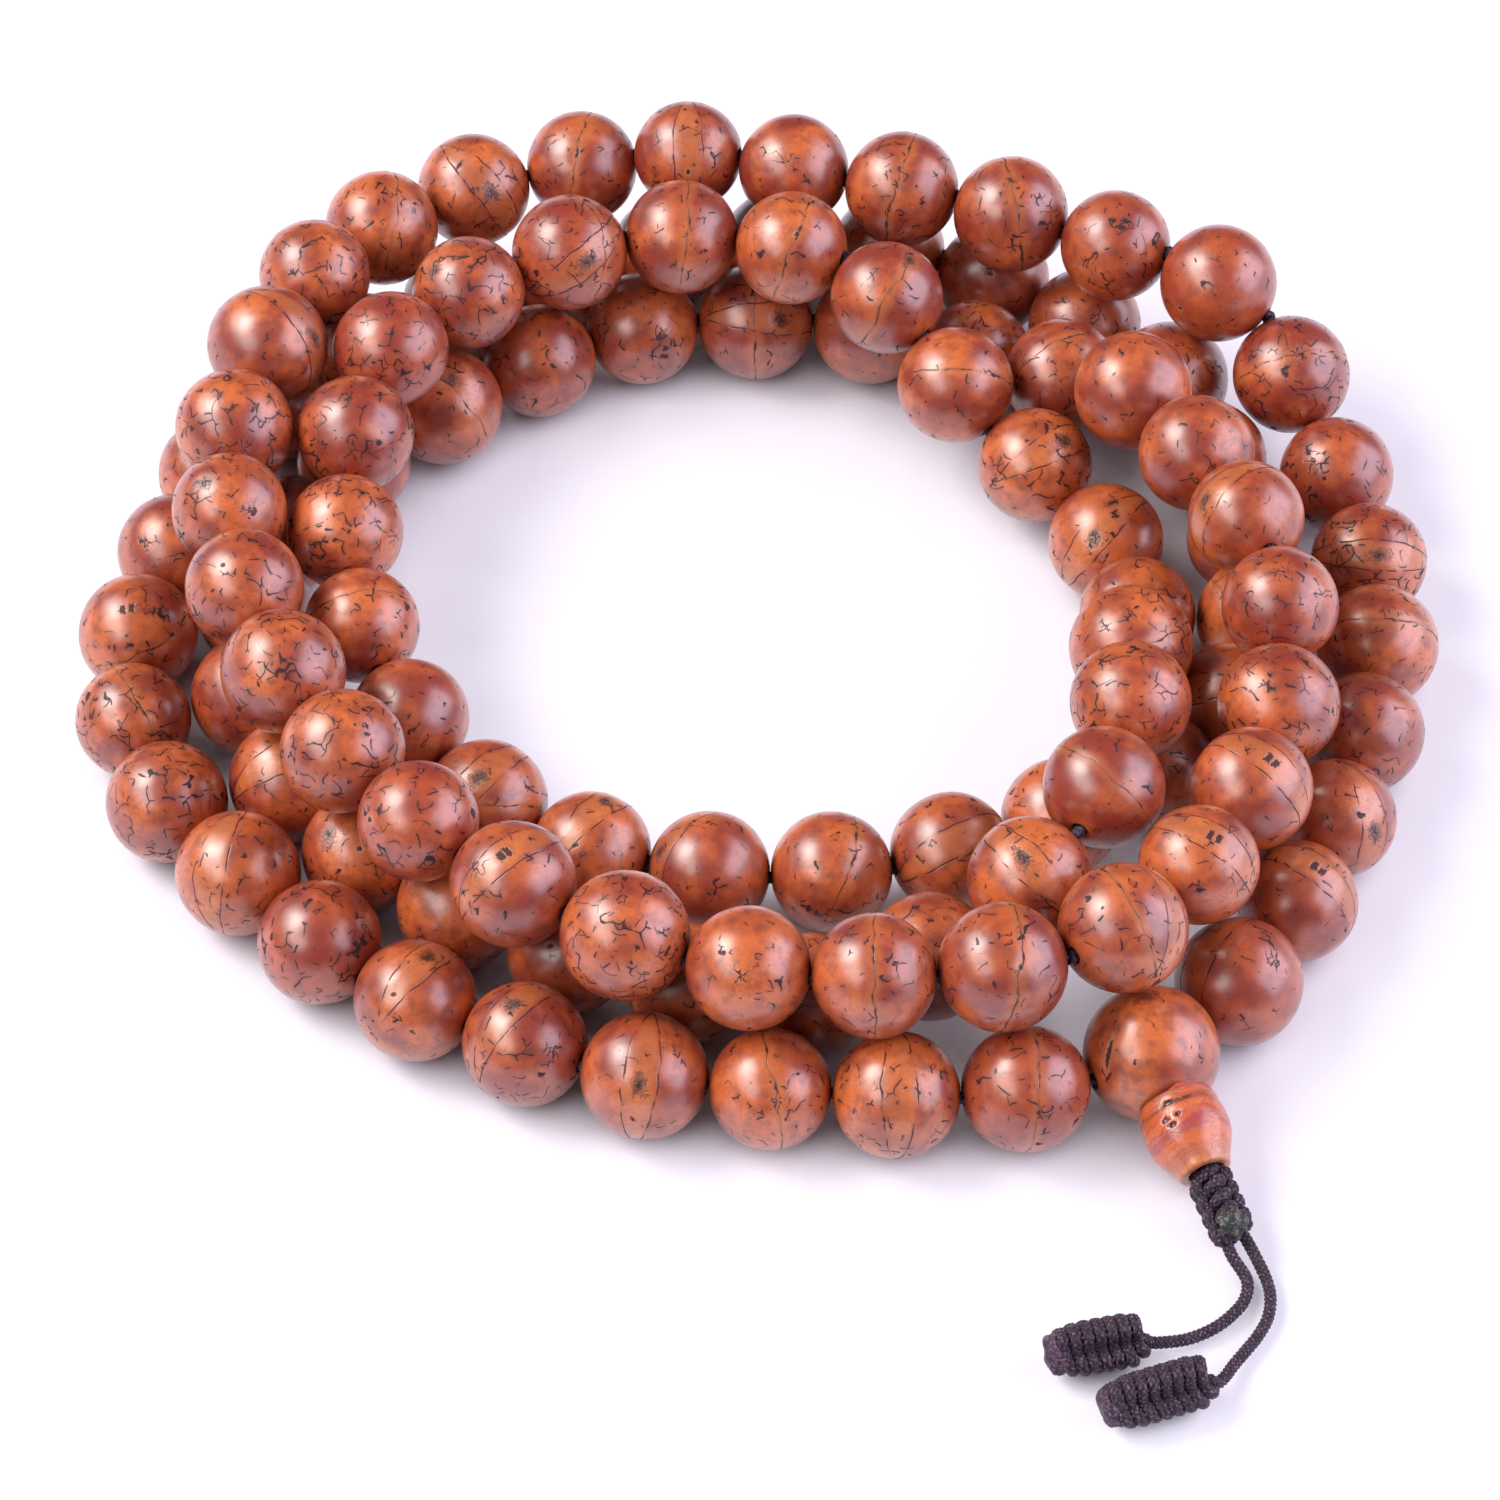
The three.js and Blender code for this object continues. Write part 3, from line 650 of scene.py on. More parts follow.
def chosen_mark(table, index, kinds, chance):
    """The bead's mark from the table, or else one thrown by the dice."""
    kind = dice.choice(kinds) if dice.random() < chance else ""
    thrown = (kind, dice.uniform(-0.9, 0.9), dice.uniform(-0.4, 0.4), dice.uniform(0, 180))
    return table.get(index, thrown)


def store(mesh, name, values):
    """Keeps three numbers for each corner of a mesh, where the materials can read them."""
    values = np.ascontiguousarray(values, np.float32)
    mesh.attributes.new(name, "FLOAT_VECTOR", "POINT").data.foreach_set("vector", values.reshape(-1))


def dress_bead(bead, index, middle, unit, radius, skin):
    """Dents a bead at its marks, moves its corners to its place and stores its marks for the material."""
    count = len(unit)
    dents = np.zeros(count)
    for label, (table, words, kinds, chance) in mark_maps.items():
        kind, right, up, turn_deg = chosen_mark(table, index, kinds, chance)
        kind = kind.split()
        surface_map = unit @ mark_frame(middle, right, up, turn_deg).T
        if "groove" in kind:
            surface_map[:, 0] /= groove_stretch
        in_front = surface_map[:, 2] >= 0
        away = np.linalg.norm(surface_map[:, :2], axis=1) + ~in_front * 9
        dents += sum(dent_depths.get(word, 0) for word in kind) * np.exp(-((away / dent_width) ** 2))
        if "suture" in kind or "band" in kind:
            dents += line_depth * np.exp(-((surface_map[:, 1] / line_width) ** 2)) * in_front
        store(bead.data, f"{label}_map", surface_map)
        store(bead.data, f"{label}_marks", np.tile([word in kind for word in words], (count, 1)))
    corners = np.array([corner.co for corner in bead.data.vertices], float)
    corners = corners * (1 - dents * skin)[:, None] + np.array(middle)
    bead.data.vertices.foreach_set("co", corners.astype(np.float32).reshape(-1))
    store(bead.data, "seed_skin", unit * radius / MM + np.array([index * 37.7, index * 11.3, 0]))
    red = 1.0 if index in reddish_beads else dice.uniform(0, 0.45)
    cracks = 0.9 if index in well_cracked_beads else dice.uniform(0.0, 0.55) if index else -0.2
    store(bead.data, "seed_nature", np.tile([dice.random(), red, cracks], (count, 1)))


def shaped_bead(index, middle, bore_way, radius):
    """One bead as a copy of the form, turned to its bore, a little oval and uneven."""
    bead = seed_form.copy()
    bead.data = seed_form.data.copy()
    bead.name = f"seed_{index:03d}"
    bpy.context.scene.collection.objects.link(bead)

    corners = form_corners.copy()
    across_share = np.hypot(corners[:, 0], corners[:, 1])
    skin = across_share > mouth_width * 1.5
    own_waves = Vector((index * 7.3, 0, 0))
    waves = np.array([noise.noise(Vector(c) * wave_scale + own_waves) for c in corners])
    angle = np.arctan2(corners[:, 1], corners[:, 0])
    oval = dice.uniform(-0.011, 0.011) * np.cos(2 * angle + dice.uniform(0, math.tau))
    oval += dice.uniform(-0.008, 0.010)
    corners *= (1 + (oval + wave_height * waves) * across_share**2)[:, None]

    side = bore_way.orthogonal().normalized()
    turn = np.array([side, bore_way.cross(side), bore_way])
    bead.data.vertices.foreach_set("co", (corners * radius @ turn).astype(np.float32).reshape(-1))
    dress_bead(bead, index, middle, form_corners @ turn, radius, skin)
    return bead


# %% Lay out the beads
near_touch = 0.06 * MM
seed_pieces = {}
for node in sorted(frame["nodes"]):
    if not node.startswith("bead_"):
        continue
    numbers = [int(word) for word in node.split("_") if word.isdigit()]
    copies = []
    for index in range(numbers[0], numbers[-1] + 1):
        middle, bore_way, radius = bead_places[index]
        copies.append(shaped_bead(index, middle, bore_way, radius + near_touch))
    name = node.replace("bead_run", "seeds").replace("bead", "seed")
    seed_pieces[node] = joined(name, *copies)
bpy.data.objects.remove(seed_form)
print(len(seed_pieces), "pieces hold the seeds")

# %% [markdown]
# ## Guru bead
#
# The guru bead is a larger seed with three holes: the strand enters on two sides, and both ends of
# the cord leave together by the third. Three bores that meet in the middle can't be bridged as the
# seed's one bore is, so they are cut with a Boolean. Each cutter is a drill that widens at its end,
# which leaves the mouth of the hole rounded, as polishing does.

# %% Bore the guru bead
def extrude_rings(rings):
    """Extrudes the selected circle up the Z axis through a list of heights and radii, as on a lathe."""
    for (height, radius), (next_height, next_radius) in zip(rings, rings[1:]):
        share = next_radius / radius
        bpy.ops.mesh.extrude_region_move(TRANSFORM_OT_translate={"value": (0, 0, next_height - height)})
        bpy.ops.transform.resize(value=(share, share, 1), center_override=(0, 0, next_height))


guru_size = guru_radius + near_touch
bpy.ops.object.select_all(action="DESELECT")
bpy.ops.mesh.primitive_uv_sphere_add(segments=96, ring_count=64, radius=guru_size)
guru_bead = bpy.context.object
guru_bead.name = "guru_seed"
pair_bore_radius = 1.35 * MM
drills = (
    (cord_middles[1] - guru_middle, bore_radius),
    (cord_middles[-2] - guru_middle, bore_radius),
    (tassel_way, pair_bore_radius),
)
for way, drill_radius in drills:
    bpy.ops.object.select_all(action="DESELECT")
    bpy.ops.mesh.primitive_circle_add(vertices=40, radius=drill_radius, fill_type="NGON")
    drill = bpy.context.object
    bpy.ops.object.mode_set(mode="EDIT")
    bpy.ops.mesh.select_all(action="SELECT")
    mouth_depth = math.sqrt(guru_size**2 - drill_radius**2)
    extrude_rings([
        (0, drill_radius),
        (mouth_depth - 0.2 * MM, drill_radius),
        (mouth_depth, drill_radius + 0.1 * MM),
        (mouth_depth + 1 * MM, drill_radius + 0.6 * MM),
    ])
    bpy.ops.mesh.select_all(action="SELECT")
    bpy.ops.mesh.normals_make_consistent(inside=False)
    bpy.ops.object.mode_set(mode="OBJECT")
    drill.data.transform(way.to_track_quat("Z", "Y").to_matrix().to_4x4())
    only(guru_bead)
    cut = guru_bead.modifiers.new("bore", "BOOLEAN")
    cut.object = drill
    cut.solver = "EXACT"
    bpy.ops.object.modifier_apply(modifier=cut.name)
    bpy.data.objects.remove(drill)
guru_corners = np.array([corner.co for corner in guru_bead.data.vertices], float)
reach = np.linalg.norm(guru_corners, axis=1)
guru_skin = reach > guru_size - 0.02 * MM
dress_bead(guru_bead, 0, guru_middle, guru_corners / reach[:, None], guru_size, guru_skin)
only(guru_bead)
bpy.ops.object.shade_smooth_by_angle(angle=math.radians(35))
print("guru bead has", len(guru_bead.data.polygons), "faces")

# %% [markdown]
# ## Tower bead
#
# The tower bead is turned from the same seed. Its wide rim is cupped and sits round the guru bead,
# there is a slight waist behind the rim, and its body narrows to a neck that holds the binding knot. A
# cylinder with loop cuts could be pulled to the form, but it is a turned part, so it is shaped as on a
# lathe: a circle is extruded ring by ring, and each ring is scaled to the profile.

# %% Turn the tower bead
tower_half_width = 3.5 * MM
tower_segments = 72
cup_seat = math.sqrt(guru_radius**2 - tower_cup_radius**2)
cup_floor = math.sqrt(guru_radius**2 - pair_bore_radius**2) - cup_seat
tower_profile = [
    (0, 0.885), (0.01, 0.905), (0.03, 0.922), (0.07, 0.94), (0.12, 0.952), (0.155, 0.954), (0.175, 0.953),
    (0.2, 0.958), (0.25, 0.975), (0.33, 0.993), (0.42, 1), (0.51, 0.985), (0.6, 0.94), (0.69, 0.87),
    (0.78, 0.785), (0.85, 0.715), (0.91, 0.665), (0.955, 0.64), (0.985, 0.615), (1, 0.57),
]
profile = [(along * tower_length, out * tower_half_width) for along, out in tower_profile]
profile += [(tower_length, pair_bore_radius * 1.12), (tower_length * 0.985, pair_bore_radius)]
profile += [(cup_floor + 0.9 * MM, pair_bore_radius), (cup_floor + 0.15 * MM, pair_bore_radius)]
for out in (1.6 * MM, 2.1 * MM, 2.55 * MM, tower_cup_radius):
    profile.append((math.sqrt(guru_radius**2 - out**2) - cup_seat, out))
bpy.ops.object.select_all(action="DESELECT")
bpy.ops.mesh.primitive_circle_add(vertices=tower_segments, radius=profile[0][1], location=(0, 0, 0))
tower_bead = bpy.context.object
tower_bead.name = "tower_bead_turned"
bpy.ops.object.mode_set(mode="EDIT")
bpy.ops.mesh.select_all(action="SELECT")
extrude_rings(profile)
same_place = 0.02 * MM


def on_cup_rim(*corners):
    """Both corners lie on the profile's first ring, or both on its last: the cupped rim's two edges."""
    return any(
        all(math.dist((math.hypot(c.x, c.y), c.z), (out, height)) < same_place for c in corners)
        for height, out in (profile[0], profile[-1])
    )


select_where(tower_bead, "EDGE", on_cup_rim)
bpy.ops.mesh.bridge_edge_loops(number_cuts=1)
bpy.ops.mesh.select_all(action="SELECT")
bpy.ops.mesh.normals_make_consistent(inside=False)
bpy.ops.object.mode_set(mode="OBJECT")
only(tower_bead)
smooth = tower_bead.modifiers.new("rounding", "SUBSURF")
smooth.levels = smooth.render_levels = 2
bpy.ops.object.modifier_apply(modifier=smooth.name)
tower_bead.data.shade_smooth()
tower_skin = np.array([corner.co for corner in tower_bead.data.vertices]) / MM

# The four pits are real dents. Each has its place round and along the bead and its half sizes, in mm
tower_pits = (
    (-0.5, 2.35, 0.28, 0.22), (0.6, 2.3, 0.3, 0.18), (-0.1, 2.95, 0.36, 0.17), (0.3, 1.1, 0.62, 0.16),
)
pit_depth_mm = 0.2
pits_turn = math.radians(-30)
outer_reach_mm = 2.4
reach = np.hypot(tower_skin[:, 0], tower_skin[:, 1])
around_mm = (np.arctan2(tower_skin[:, 0], tower_skin[:, 1]) - pits_turn) * reach
ragged = np.array([noise.noise(Vector(spot) * 4) for spot in tower_skin]) * 0.8
pit_share = np.zeros(len(tower_skin))
for at_around, at_along, half_around, half_along in tower_pits:
    away = np.hypot((around_mm - at_around) / half_around, (tower_skin[:, 2] - at_along) / half_along)
    pit_share = np.maximum(pit_share, np.exp(-(np.maximum(away + ragged, 0) ** 4)))
pit_share *= reach > outer_reach_mm
store(tower_bead.data, "tower_skin", tower_skin)
store(tower_bead.data, "tower_pits", np.tile(pit_share[:, None], (1, 3)))
tower_corners = tower_skin * MM
tower_corners[:, :2] *= (1 - pit_share * pit_depth_mm / np.maximum(reach, 1))[:, None]
tower_bead.data.vertices.foreach_set("co", tower_corners.astype(np.float32).reshape(-1))
stand_at(tower_bead, guru_middle + tassel_way * rim_distance, tassel_way, tassel_over)
print("tower bead has", len(tower_bead.data.polygons), "faces")

# %% [markdown]
# ## Materials
#
# Every finish below starts from what the real one is. Colours are written as sRGB hex values, as a
# colour picker shows them, and one function turns them into the linear values that the renderer uses.
# Another adds a node with its settings and links, so that each pattern reads as a short list. The
# other two start a material and put it on a piece.


# %% Four helpers for materials
def colour(code):
    """Linear colour from an sRGB hex value."""
    shares = [int(code[i : i + 2], 16) / 255 for i in (1, 3, 5)]
    return tuple(s / 12.92 if s <= 0.04045 else ((s + 0.055) / 1.055) ** 2.4 for s in shares) + (1.0,)


def add(tree, kind, feeds=(), out=0, **settings):
    """Adds a node, sets it, feeds its inputs with values or other outputs, and returns one output."""
    node = tree.nodes.new("ShaderNode" + kind)
    for name, value in settings.items():
        setattr(node, name, value)
    for socket, value in dict(feeds).items():
        if isinstance(value, bpy.types.NodeSocket):
            tree.links.new(value, node.inputs[socket])
        else:
            node.inputs[socket].default_value = value
    return node.outputs[out] if node.outputs else node


def new_material(name):
    """An empty material and its node tree."""
    material = bpy.data.materials.new(name)
    material.use_nodes = True
    material.node_tree.nodes.clear()
    return material, material.node_tree


def paint(piece, material):
    """The piece gets this material and no other."""
    piece.data.materials.clear()
    piece.data.materials.append(material)


# %% [markdown]
# ## Polished bodhi seed
#
# Bodhi seeds for such strands are hard brown seeds, ground round and polished to a wax shine. The
# skin is an uneven orange brown, and a net of hairline cracks, 0.1 mm wide, runs through it in short
# broken pieces. A photograph wrapped on the seed would repeat on every bead and smear at its bore,
# so the pattern is grown: the cracks are the borders of random cells 2 to 3 mm across, bent by noise
# and kept only in places. All sizes are in millimetres on the bead's own skin.

# %% Patterns of the seed's skin
seed_radius_mm = 5.0


def broken_net(tree, place, cell, half_width, keep, level):
    """Cracks on the borders of random cells, in mm, and the stain beside them.

    They thin out where the keep noise falls to the level. A line is 1.7 in its middle and stops
    at 1 later on, so that it is dark nearly to its edge.
    """
    away = add(tree, "TexVoronoi", {"Vector": place, "Scale": 1 / cell}, feature="DISTANCE_TO_EDGE")
    away = add(tree, "Math", {0: away, 1: cell}, operation="MULTIPLY")
    kept = add(tree, "Math", {0: keep, 1: level}, operation="SUBTRACT")
    kept = add(tree, "MapRange", {"Value": kept, 1: 0.0, 2: 0.06})
    width = add(tree, "Math", {0: kept, 1: half_width, 2: 0.001}, operation="MULTIPLY_ADD")
    line = add(tree, "MapRange", {"Value": away, 1: 0.0, 2: width, 3: 1.7, 4: 0.0})
    stain = add(tree, "MapRange", {"Value": away, 1: 0.0, 2: half_width * 5, 3: 1.0, 4: 0.0})
    return line, add(tree, "Math", {0: stain, 1: kept}, operation="MULTIPLY")


def pin_holes(tree, skin, cell, radius):
    """Small dark dots of several sizes, in fewer than half of all cells."""
    cells = add(tree, "TexVoronoi", {"Vector": skin, "Scale": 1 / cell}).node.outputs
    chance = add(tree, "SeparateXYZ", {0: cells["Color"]})
    size = add(tree, "MapRange", {"Value": chance, 1: 0.55, 2: 1.0, 3: 0.0, 4: radius / cell})
    inside = add(tree, "Math", {0: size, 1: cells["Distance"]}, operation="SUBTRACT")
    return add(tree, "MapRange", {"Value": inside, 1: -0.01, 2: 0.04, 3: 0.0, 4: 1.0})


def largest(tree, *values):
    """The largest of several values, such as the darkest of several marks."""
    top = values[0]
    for value in values[1:]:
        top = add(tree, "Math", {0: top, 1: value}, operation="MAXIMUM")
    return top


def meridian_distance(tree, surface_map, sway, half_angle):
    """Distance in mm from the two edges of a band along X, negative inside.

    With a half angle of 0 it is the distance from the band's middle line.
    """
    parts = add(tree, "SeparateXYZ", {0: surface_map}).node.outputs
    angle = add(tree, "Math", {0: parts["Y"], 1: parts["Z"]}, operation="ARCTAN2")
    angle = add(tree, "Math", {0: angle, 1: sway}, operation="ADD")
    angle = add(tree, "Math", {0: angle}, operation="ABSOLUTE")
    angle = add(tree, "Math", {0: angle, 1: half_angle}, operation="SUBTRACT")
    flat = add(tree, "VectorMath", {0: surface_map, 1: (0.0, 1.0, 1.0)}, operation="MULTIPLY")
    reach = add(tree, "VectorMath", {0: flat}, out="Value", operation="LENGTH")
    reach = add(tree, "Math", {0: reach, 1: seed_radius_mm}, operation="MULTIPLY")
    return add(tree, "Math", {0: angle, 1: reach}, operation="MULTIPLY")


def hair_line(tree, distance, half_width):
    """1 on a line and 0 beside it, from the distance to the line in mm."""
    distance = add(tree, "Math", {0: distance}, operation="ABSOLUTE")
    edge = {1: half_width * 0.4, 2: half_width * 1.3, 3: 1.0, 4: 0.0}
    return add(tree, "MapRange", {"Value": distance, **edge})


def oval_distance(tree, surface_map, half_sizes, ragged):
    """Distance from a mark's middle in shares of its half sizes, with a ragged edge.

    On the bead's other side it is large, so that a mark doesn't show there too.
    """
    shares = add(tree, "VectorMath", {0: surface_map, 1: half_sizes}, operation="DIVIDE")
    flat = add(tree, "VectorMath", {0: shares, 1: (1.0, 1.0, 0.0)}, operation="MULTIPLY")
    away = add(tree, "VectorMath", {0: flat}, out="Value", operation="LENGTH")
    away = add(tree, "Math", {0: away, 1: ragged}, operation="ADD")
    behind = add(tree, "SeparateXYZ", {0: surface_map}, out="Z")
    behind = add(tree, "Math", {0: behind, 1: 0.0}, operation="LESS_THAN")
    return add(tree, "Math", {0: behind, 1: 9.0, 2: away}, operation="MULTIPLY_ADD")


# %% Build the seed's material: what it is fed
seed_material, tree = new_material("polished_bodhi_seed")
skin, scar_map, seam_map, nature, scar, seam = (
    add(tree, "Attribute", out="Vector", attribute_name=name)
    for name in ("seed_skin", "scar_map", "seam_map", "seed_nature", "scar_marks", "seam_marks")
)
nature, scar, seam = (add(tree, "SeparateXYZ", {0: kept}).node.outputs for kept in (nature, scar, seam))

# Noises that several patterns share. The skin is in mm, so a Scale of 0.26 gives patches 4 mm across
cloud, patches, grain = (
    add(tree, "TexNoise", {"Vector": skin, "Scale": scale, "Detail": detail, "Roughness": roughness})
    for scale, detail, roughness in ((0.26, 2.0, 0.55), (1.0, 2.0, 0.6), (4.6, 1.0, 0.6))
)

# Two more give three values each: one bends the lines, and one says where they are kept
drift, keep = (
    add(tree, "TexNoise", {"Vector": skin, "Scale": size, "Detail": detail, "Roughness": 0.3}, out="Color")
    for size, detail in ((0.55, 1.6), (0.9, 1.0))
)
drift = add(tree, "VectorMath", {0: drift, 1: (0.5, 0.5, 0.5)}, operation="SUBTRACT")
wobble = add(tree, "SeparateXYZ", {0: drift})
keep = add(tree, "SeparateXYZ", {0: keep}).node.outputs
ragged = add(tree, "Math", {0: grain, 1: 1.1, 2: -0.55}, operation="MULTIPLY_ADD")
uneven = add(tree, "Math", {0: patches, 1: 0.5}, operation="SUBTRACT")
ragged = add(tree, "Math", {0: uneven, 1: 1.3, 2: ragged}, operation="MULTIPLY_ADD")
print("inputs and shared noises:", len(tree.nodes), "nodes")

# %% Cracks and dots of the skin
# On a well cracked bead the level that the noise has to pass comes down, so that it has more cracks
crack_level = add(tree, "Math", {0: nature["Z"], 1: -0.13, 2: 0.637}, operation="MULTIPLY_ADD")
bent, bent_back = (
    add(tree, "VectorMath", {0: drift, 1: bend, 2: skin}, operation="MULTIPLY_ADD")
    for bend in ((2.4, 2.4, 2.4), (-1.8, 1.8, -1.8))
)
coarse, coarse_stain = broken_net(tree, bent, 2.8, 0.09, keep["X"], crack_level)
fine, fine_stain = broken_net(tree, bent_back, 2.1, 0.07, keep["Y"], crack_level)
holes = pin_holes(tree, bent_back, 1.4, 0.17)
print("with cracks and dots:", len(tree.nodes), "nodes")

# %% The scar: its lens band, its patch and its two pits
# The band has a thin dark edge on either side
sway = add(tree, "Math", {0: wobble, 1: 0.12}, operation="MULTIPLY")
band_edge = meridian_distance(tree, scar_map, sway, 0.27)
band_break = add(tree, "MapRange", {"Value": keep["Z"], 1: 0.40, 2: 0.52, 3: 0.1, 4: 1.0})
band_line = hair_line(tree, band_edge, 0.07)
for share in (band_break, scar["X"]):
    band_line = add(tree, "Math", {0: band_line, 1: share}, operation="MULTIPLY")
band_inside = add(tree, "MapRange", {"Value": band_edge, 1: -0.45, 2: 0.05, 3: 1.0, 4: 0.0})
band_inside = add(tree, "Math", {0: band_inside, 1: scar["X"]}, operation="MULTIPLY")

# A rough greyish patch with dark specks and a broken dark rim
torn = add(tree, "Math", {0: ragged, 1: 2.0}, operation="MULTIPLY")
patch_away = oval_distance(tree, scar_map, (0.17, 0.12, 1.0), torn)
patch_soft = add(tree, "MapRange", {"Value": patch_away, 1: 0.4, 2: 1.3, 3: 1.0, 4: 0.0})
patch_soft = add(tree, "Math", {0: patch_soft, 1: scar["Y"]}, operation="MULTIPLY")
patch_specks = add(tree, "MapRange", {"Value": grain, 1: 0.46, 2: 0.52, 3: 0.0, 4: 1.0})
patch_specks = add(tree, "Math", {0: patch_specks, 1: patch_soft}, operation="MULTIPLY")
patch_rim = hair_line(tree, add(tree, "Math", {0: patch_away, 1: 1.0}, operation="SUBTRACT"), 0.22)
for share in (band_break, patch_soft):
    patch_rim = add(tree, "Math", {0: patch_rim, 1: share}, operation="MULTIPLY")

# Two ragged pits side by side, the same on either side of the map's middle
in_front = add(tree, "SeparateXYZ", {0: scar_map}, out="Z")
in_front = add(tree, "Math", {0: in_front, 1: 0.5}, operation="GREATER_THAN")
mirrored = add(tree, "VectorMath", {0: scar_map}, operation="ABSOLUTE")
one_pit = add(tree, "VectorMath", {0: mirrored, 1: (0.075, 0.0, 0.0)}, operation="SUBTRACT")
one_pit = add(tree, "VectorMath", {0: one_pit, 1: (0.05, 0.085, 1.0)}, operation="DIVIDE")
one_pit = add(tree, "VectorMath", {0: one_pit}, operation="ABSOLUTE")
one_pit = add(tree, "SeparateXYZ", {0: one_pit}).node.outputs
twin_away = largest(tree, one_pit["X"], one_pit["Y"])
twin_away = add(tree, "Math", {0: ragged, 1: 1.3, 2: twin_away}, operation="MULTIPLY_ADD")
twins = add(tree, "MapRange", {"Value": twin_away, 1: 0.8, 2: 1.15, 3: 1.0, 4: 0.0})
for share in (in_front, scar["Z"]):
    twins = add(tree, "Math", {0: twins, 1: share}, operation="MULTIPLY")
print("with the scar:", len(tree.nodes), "nodes")

# %% The seam: one dark line that widens here and there, a star of cracks, and a single pit
# The line lies in a reddish stain and on a paler strip, and it is drawn on the front half only
seam_parts = add(tree, "SeparateXYZ", {0: seam_map}).node.outputs
seam_front = add(tree, "Math", {0: seam_parts["Z"], 1: 0.0}, operation="GREATER_THAN")
seam_weight = add(tree, "Math", {0: seam_front, 1: seam["X"]}, operation="MULTIPLY")
seam_sway = add(tree, "Math", {0: wobble, 1: 0.22}, operation="MULTIPLY")
seam_distance = meridian_distance(tree, seam_map, seam_sway, 0.0)
seam_width = add(tree, "MapRange", {"Value": patches, 1: 0.52, 2: 0.66, 3: 0.05, 4: 0.16})
seam_line = hair_line(tree, add(tree, "Math", {0: seam_distance, 1: seam_width}, operation="DIVIDE"), 1.0)
seam_break = add(tree, "MapRange", {"Value": keep["Z"], 1: 0.42, 2: 0.56, 3: 0.15, 4: 1.0})
seam_line = add(tree, "Math", {0: seam_line, 1: seam_break}, operation="MULTIPLY")
seam_stain = add(tree, "MapRange", {"Value": seam_distance, 1: 0.0, 2: 0.3, 3: 0.8, 4: 0.0})
seam_glow = add(tree, "MapRange", {"Value": seam_distance, 1: 0.15, 2: 0.9, 3: 1.0, 4: 0.0})
seam_line, seam_stain, seam_glow = (
    add(tree, "Math", {0: part, 1: seam_weight}, operation="MULTIPLY")
    for part in (seam_line, seam_stain, seam_glow)
)

# The star: wavy spokes round one point
star_away = oval_distance(tree, seam_map, (0.30, 0.30, 1.0), ragged)
star_near = add(tree, "MapRange", {"Value": star_away, 1: 0.3, 2: 1.0, 3: 1.0, 4: 0.0})
star_near = add(tree, "Math", {0: star_near, 1: seam["Y"]}, operation="MULTIPLY")
spoke = add(tree, "Math", {0: seam_parts["Y"], 1: seam_parts["X"]}, operation="ARCTAN2")
spoke = add(tree, "Math", {0: wobble, 1: 8.0, 2: spoke}, operation="MULTIPLY_ADD")
spoke = add(tree, "Math", {0: spoke, 1: 2.0}, operation="MULTIPLY")
spoke = add(tree, "Math", {0: spoke}, operation="SINE")
spoke = add(tree, "Math", {0: spoke, 1: star_away}, operation="MULTIPLY")
spokes = add(tree, "Math", {0: hair_line(tree, spoke, 0.09), 1: star_near}, operation="MULTIPLY")

# The pit, with a pale ring round it
pit_away = oval_distance(tree, seam_map, (0.055, 0.04, 1.0), ragged)
pit = add(tree, "MapRange", {"Value": pit_away, 1: 0.7, 2: 1.2, 3: 1.0, 4: 0.0})
pit_edge = add(tree, "MapRange", {"Value": pit_away, 1: 1.2, 2: 2.0, 3: 0.3, 4: 0.0})
pit, pit_edge = (
    add(tree, "Math", {0: part, 1: seam["Z"]}, operation="MULTIPLY") for part in (pit, pit_edge)
)
print("with the seam, the star and the pit:", len(tree.nodes), "nodes")

# %% Colours of the skin, from the widest patches to the finest grain
tone = add(tree, "Math", {0: nature["X"], 1: 0.16, 2: cloud}, operation="MULTIPLY_ADD")
tone = add(tree, "MapRange", {"Value": tone, 1: 0.44, 2: 0.72, 3: 0.0, 4: 1.0})
base = add(tree, "Mix", {0: tone, 6: colour("#d86f34"), 7: colour("#963925")}, out=2, data_type="RGBA")
spots = add(tree, "MapRange", {"Value": patches, 1: 0.48, 2: 0.68, 3: 0.0, 4: 0.5})
red = add(tree, "Math", {0: nature["Y"], 1: 0.45}, operation="MULTIPLY")
glow = add(tree, "Math", {0: largest(tree, band_inside, seam_glow), 1: 0.38}, operation="MULTIPLY")
for share, code in ((spots, "#6f2c1e"), (red, "#942c22"), (glow, "#db8549")):
    base = add(tree, "Mix", {0: share, 6: base, 7: colour(code)}, out=2, data_type="RGBA")
shade = add(tree, "MapRange", {"Value": grain, 1: 0.3, 2: 0.7, 3: 0.9, 4: 1.08})
base = add(tree, "VectorMath", {0: base, "Scale": shade}, operation="SCALE")

# Then the marks, from the pale edge of a pit to the dark of the cracks
rough_patch = add(tree, "Math", {0: patch_soft, 1: 0.8}, operation="MULTIPLY")
stain = largest(tree, coarse_stain, fine_stain, seam_stain)
stain = add(tree, "Math", {0: stain, 1: 0.4}, operation="MULTIPLY")
fine_dark = add(tree, "Math", {0: fine, 1: 0.8}, operation="MULTIPLY")
marks = largest(tree, band_line, patch_rim, patch_specks, twins, seam_line, spokes, pit)
dark = largest(tree, coarse, fine_dark, holes, marks)
dark = add(tree, "Math", {0: dark, 1: 0.95}, operation="MULTIPLY", use_clamp=True)
for share, code in (
    (pit_edge, "#d9a27c"), (rough_patch, "#4e2c20"), (stain, "#682318"), (dark, "#2e0f18"),
):
    base = add(tree, "Mix", {0: share, 6: base, 7: colour(code)}, out=2, data_type="RGBA")
print("with the colours:", len(tree.nodes), "nodes")

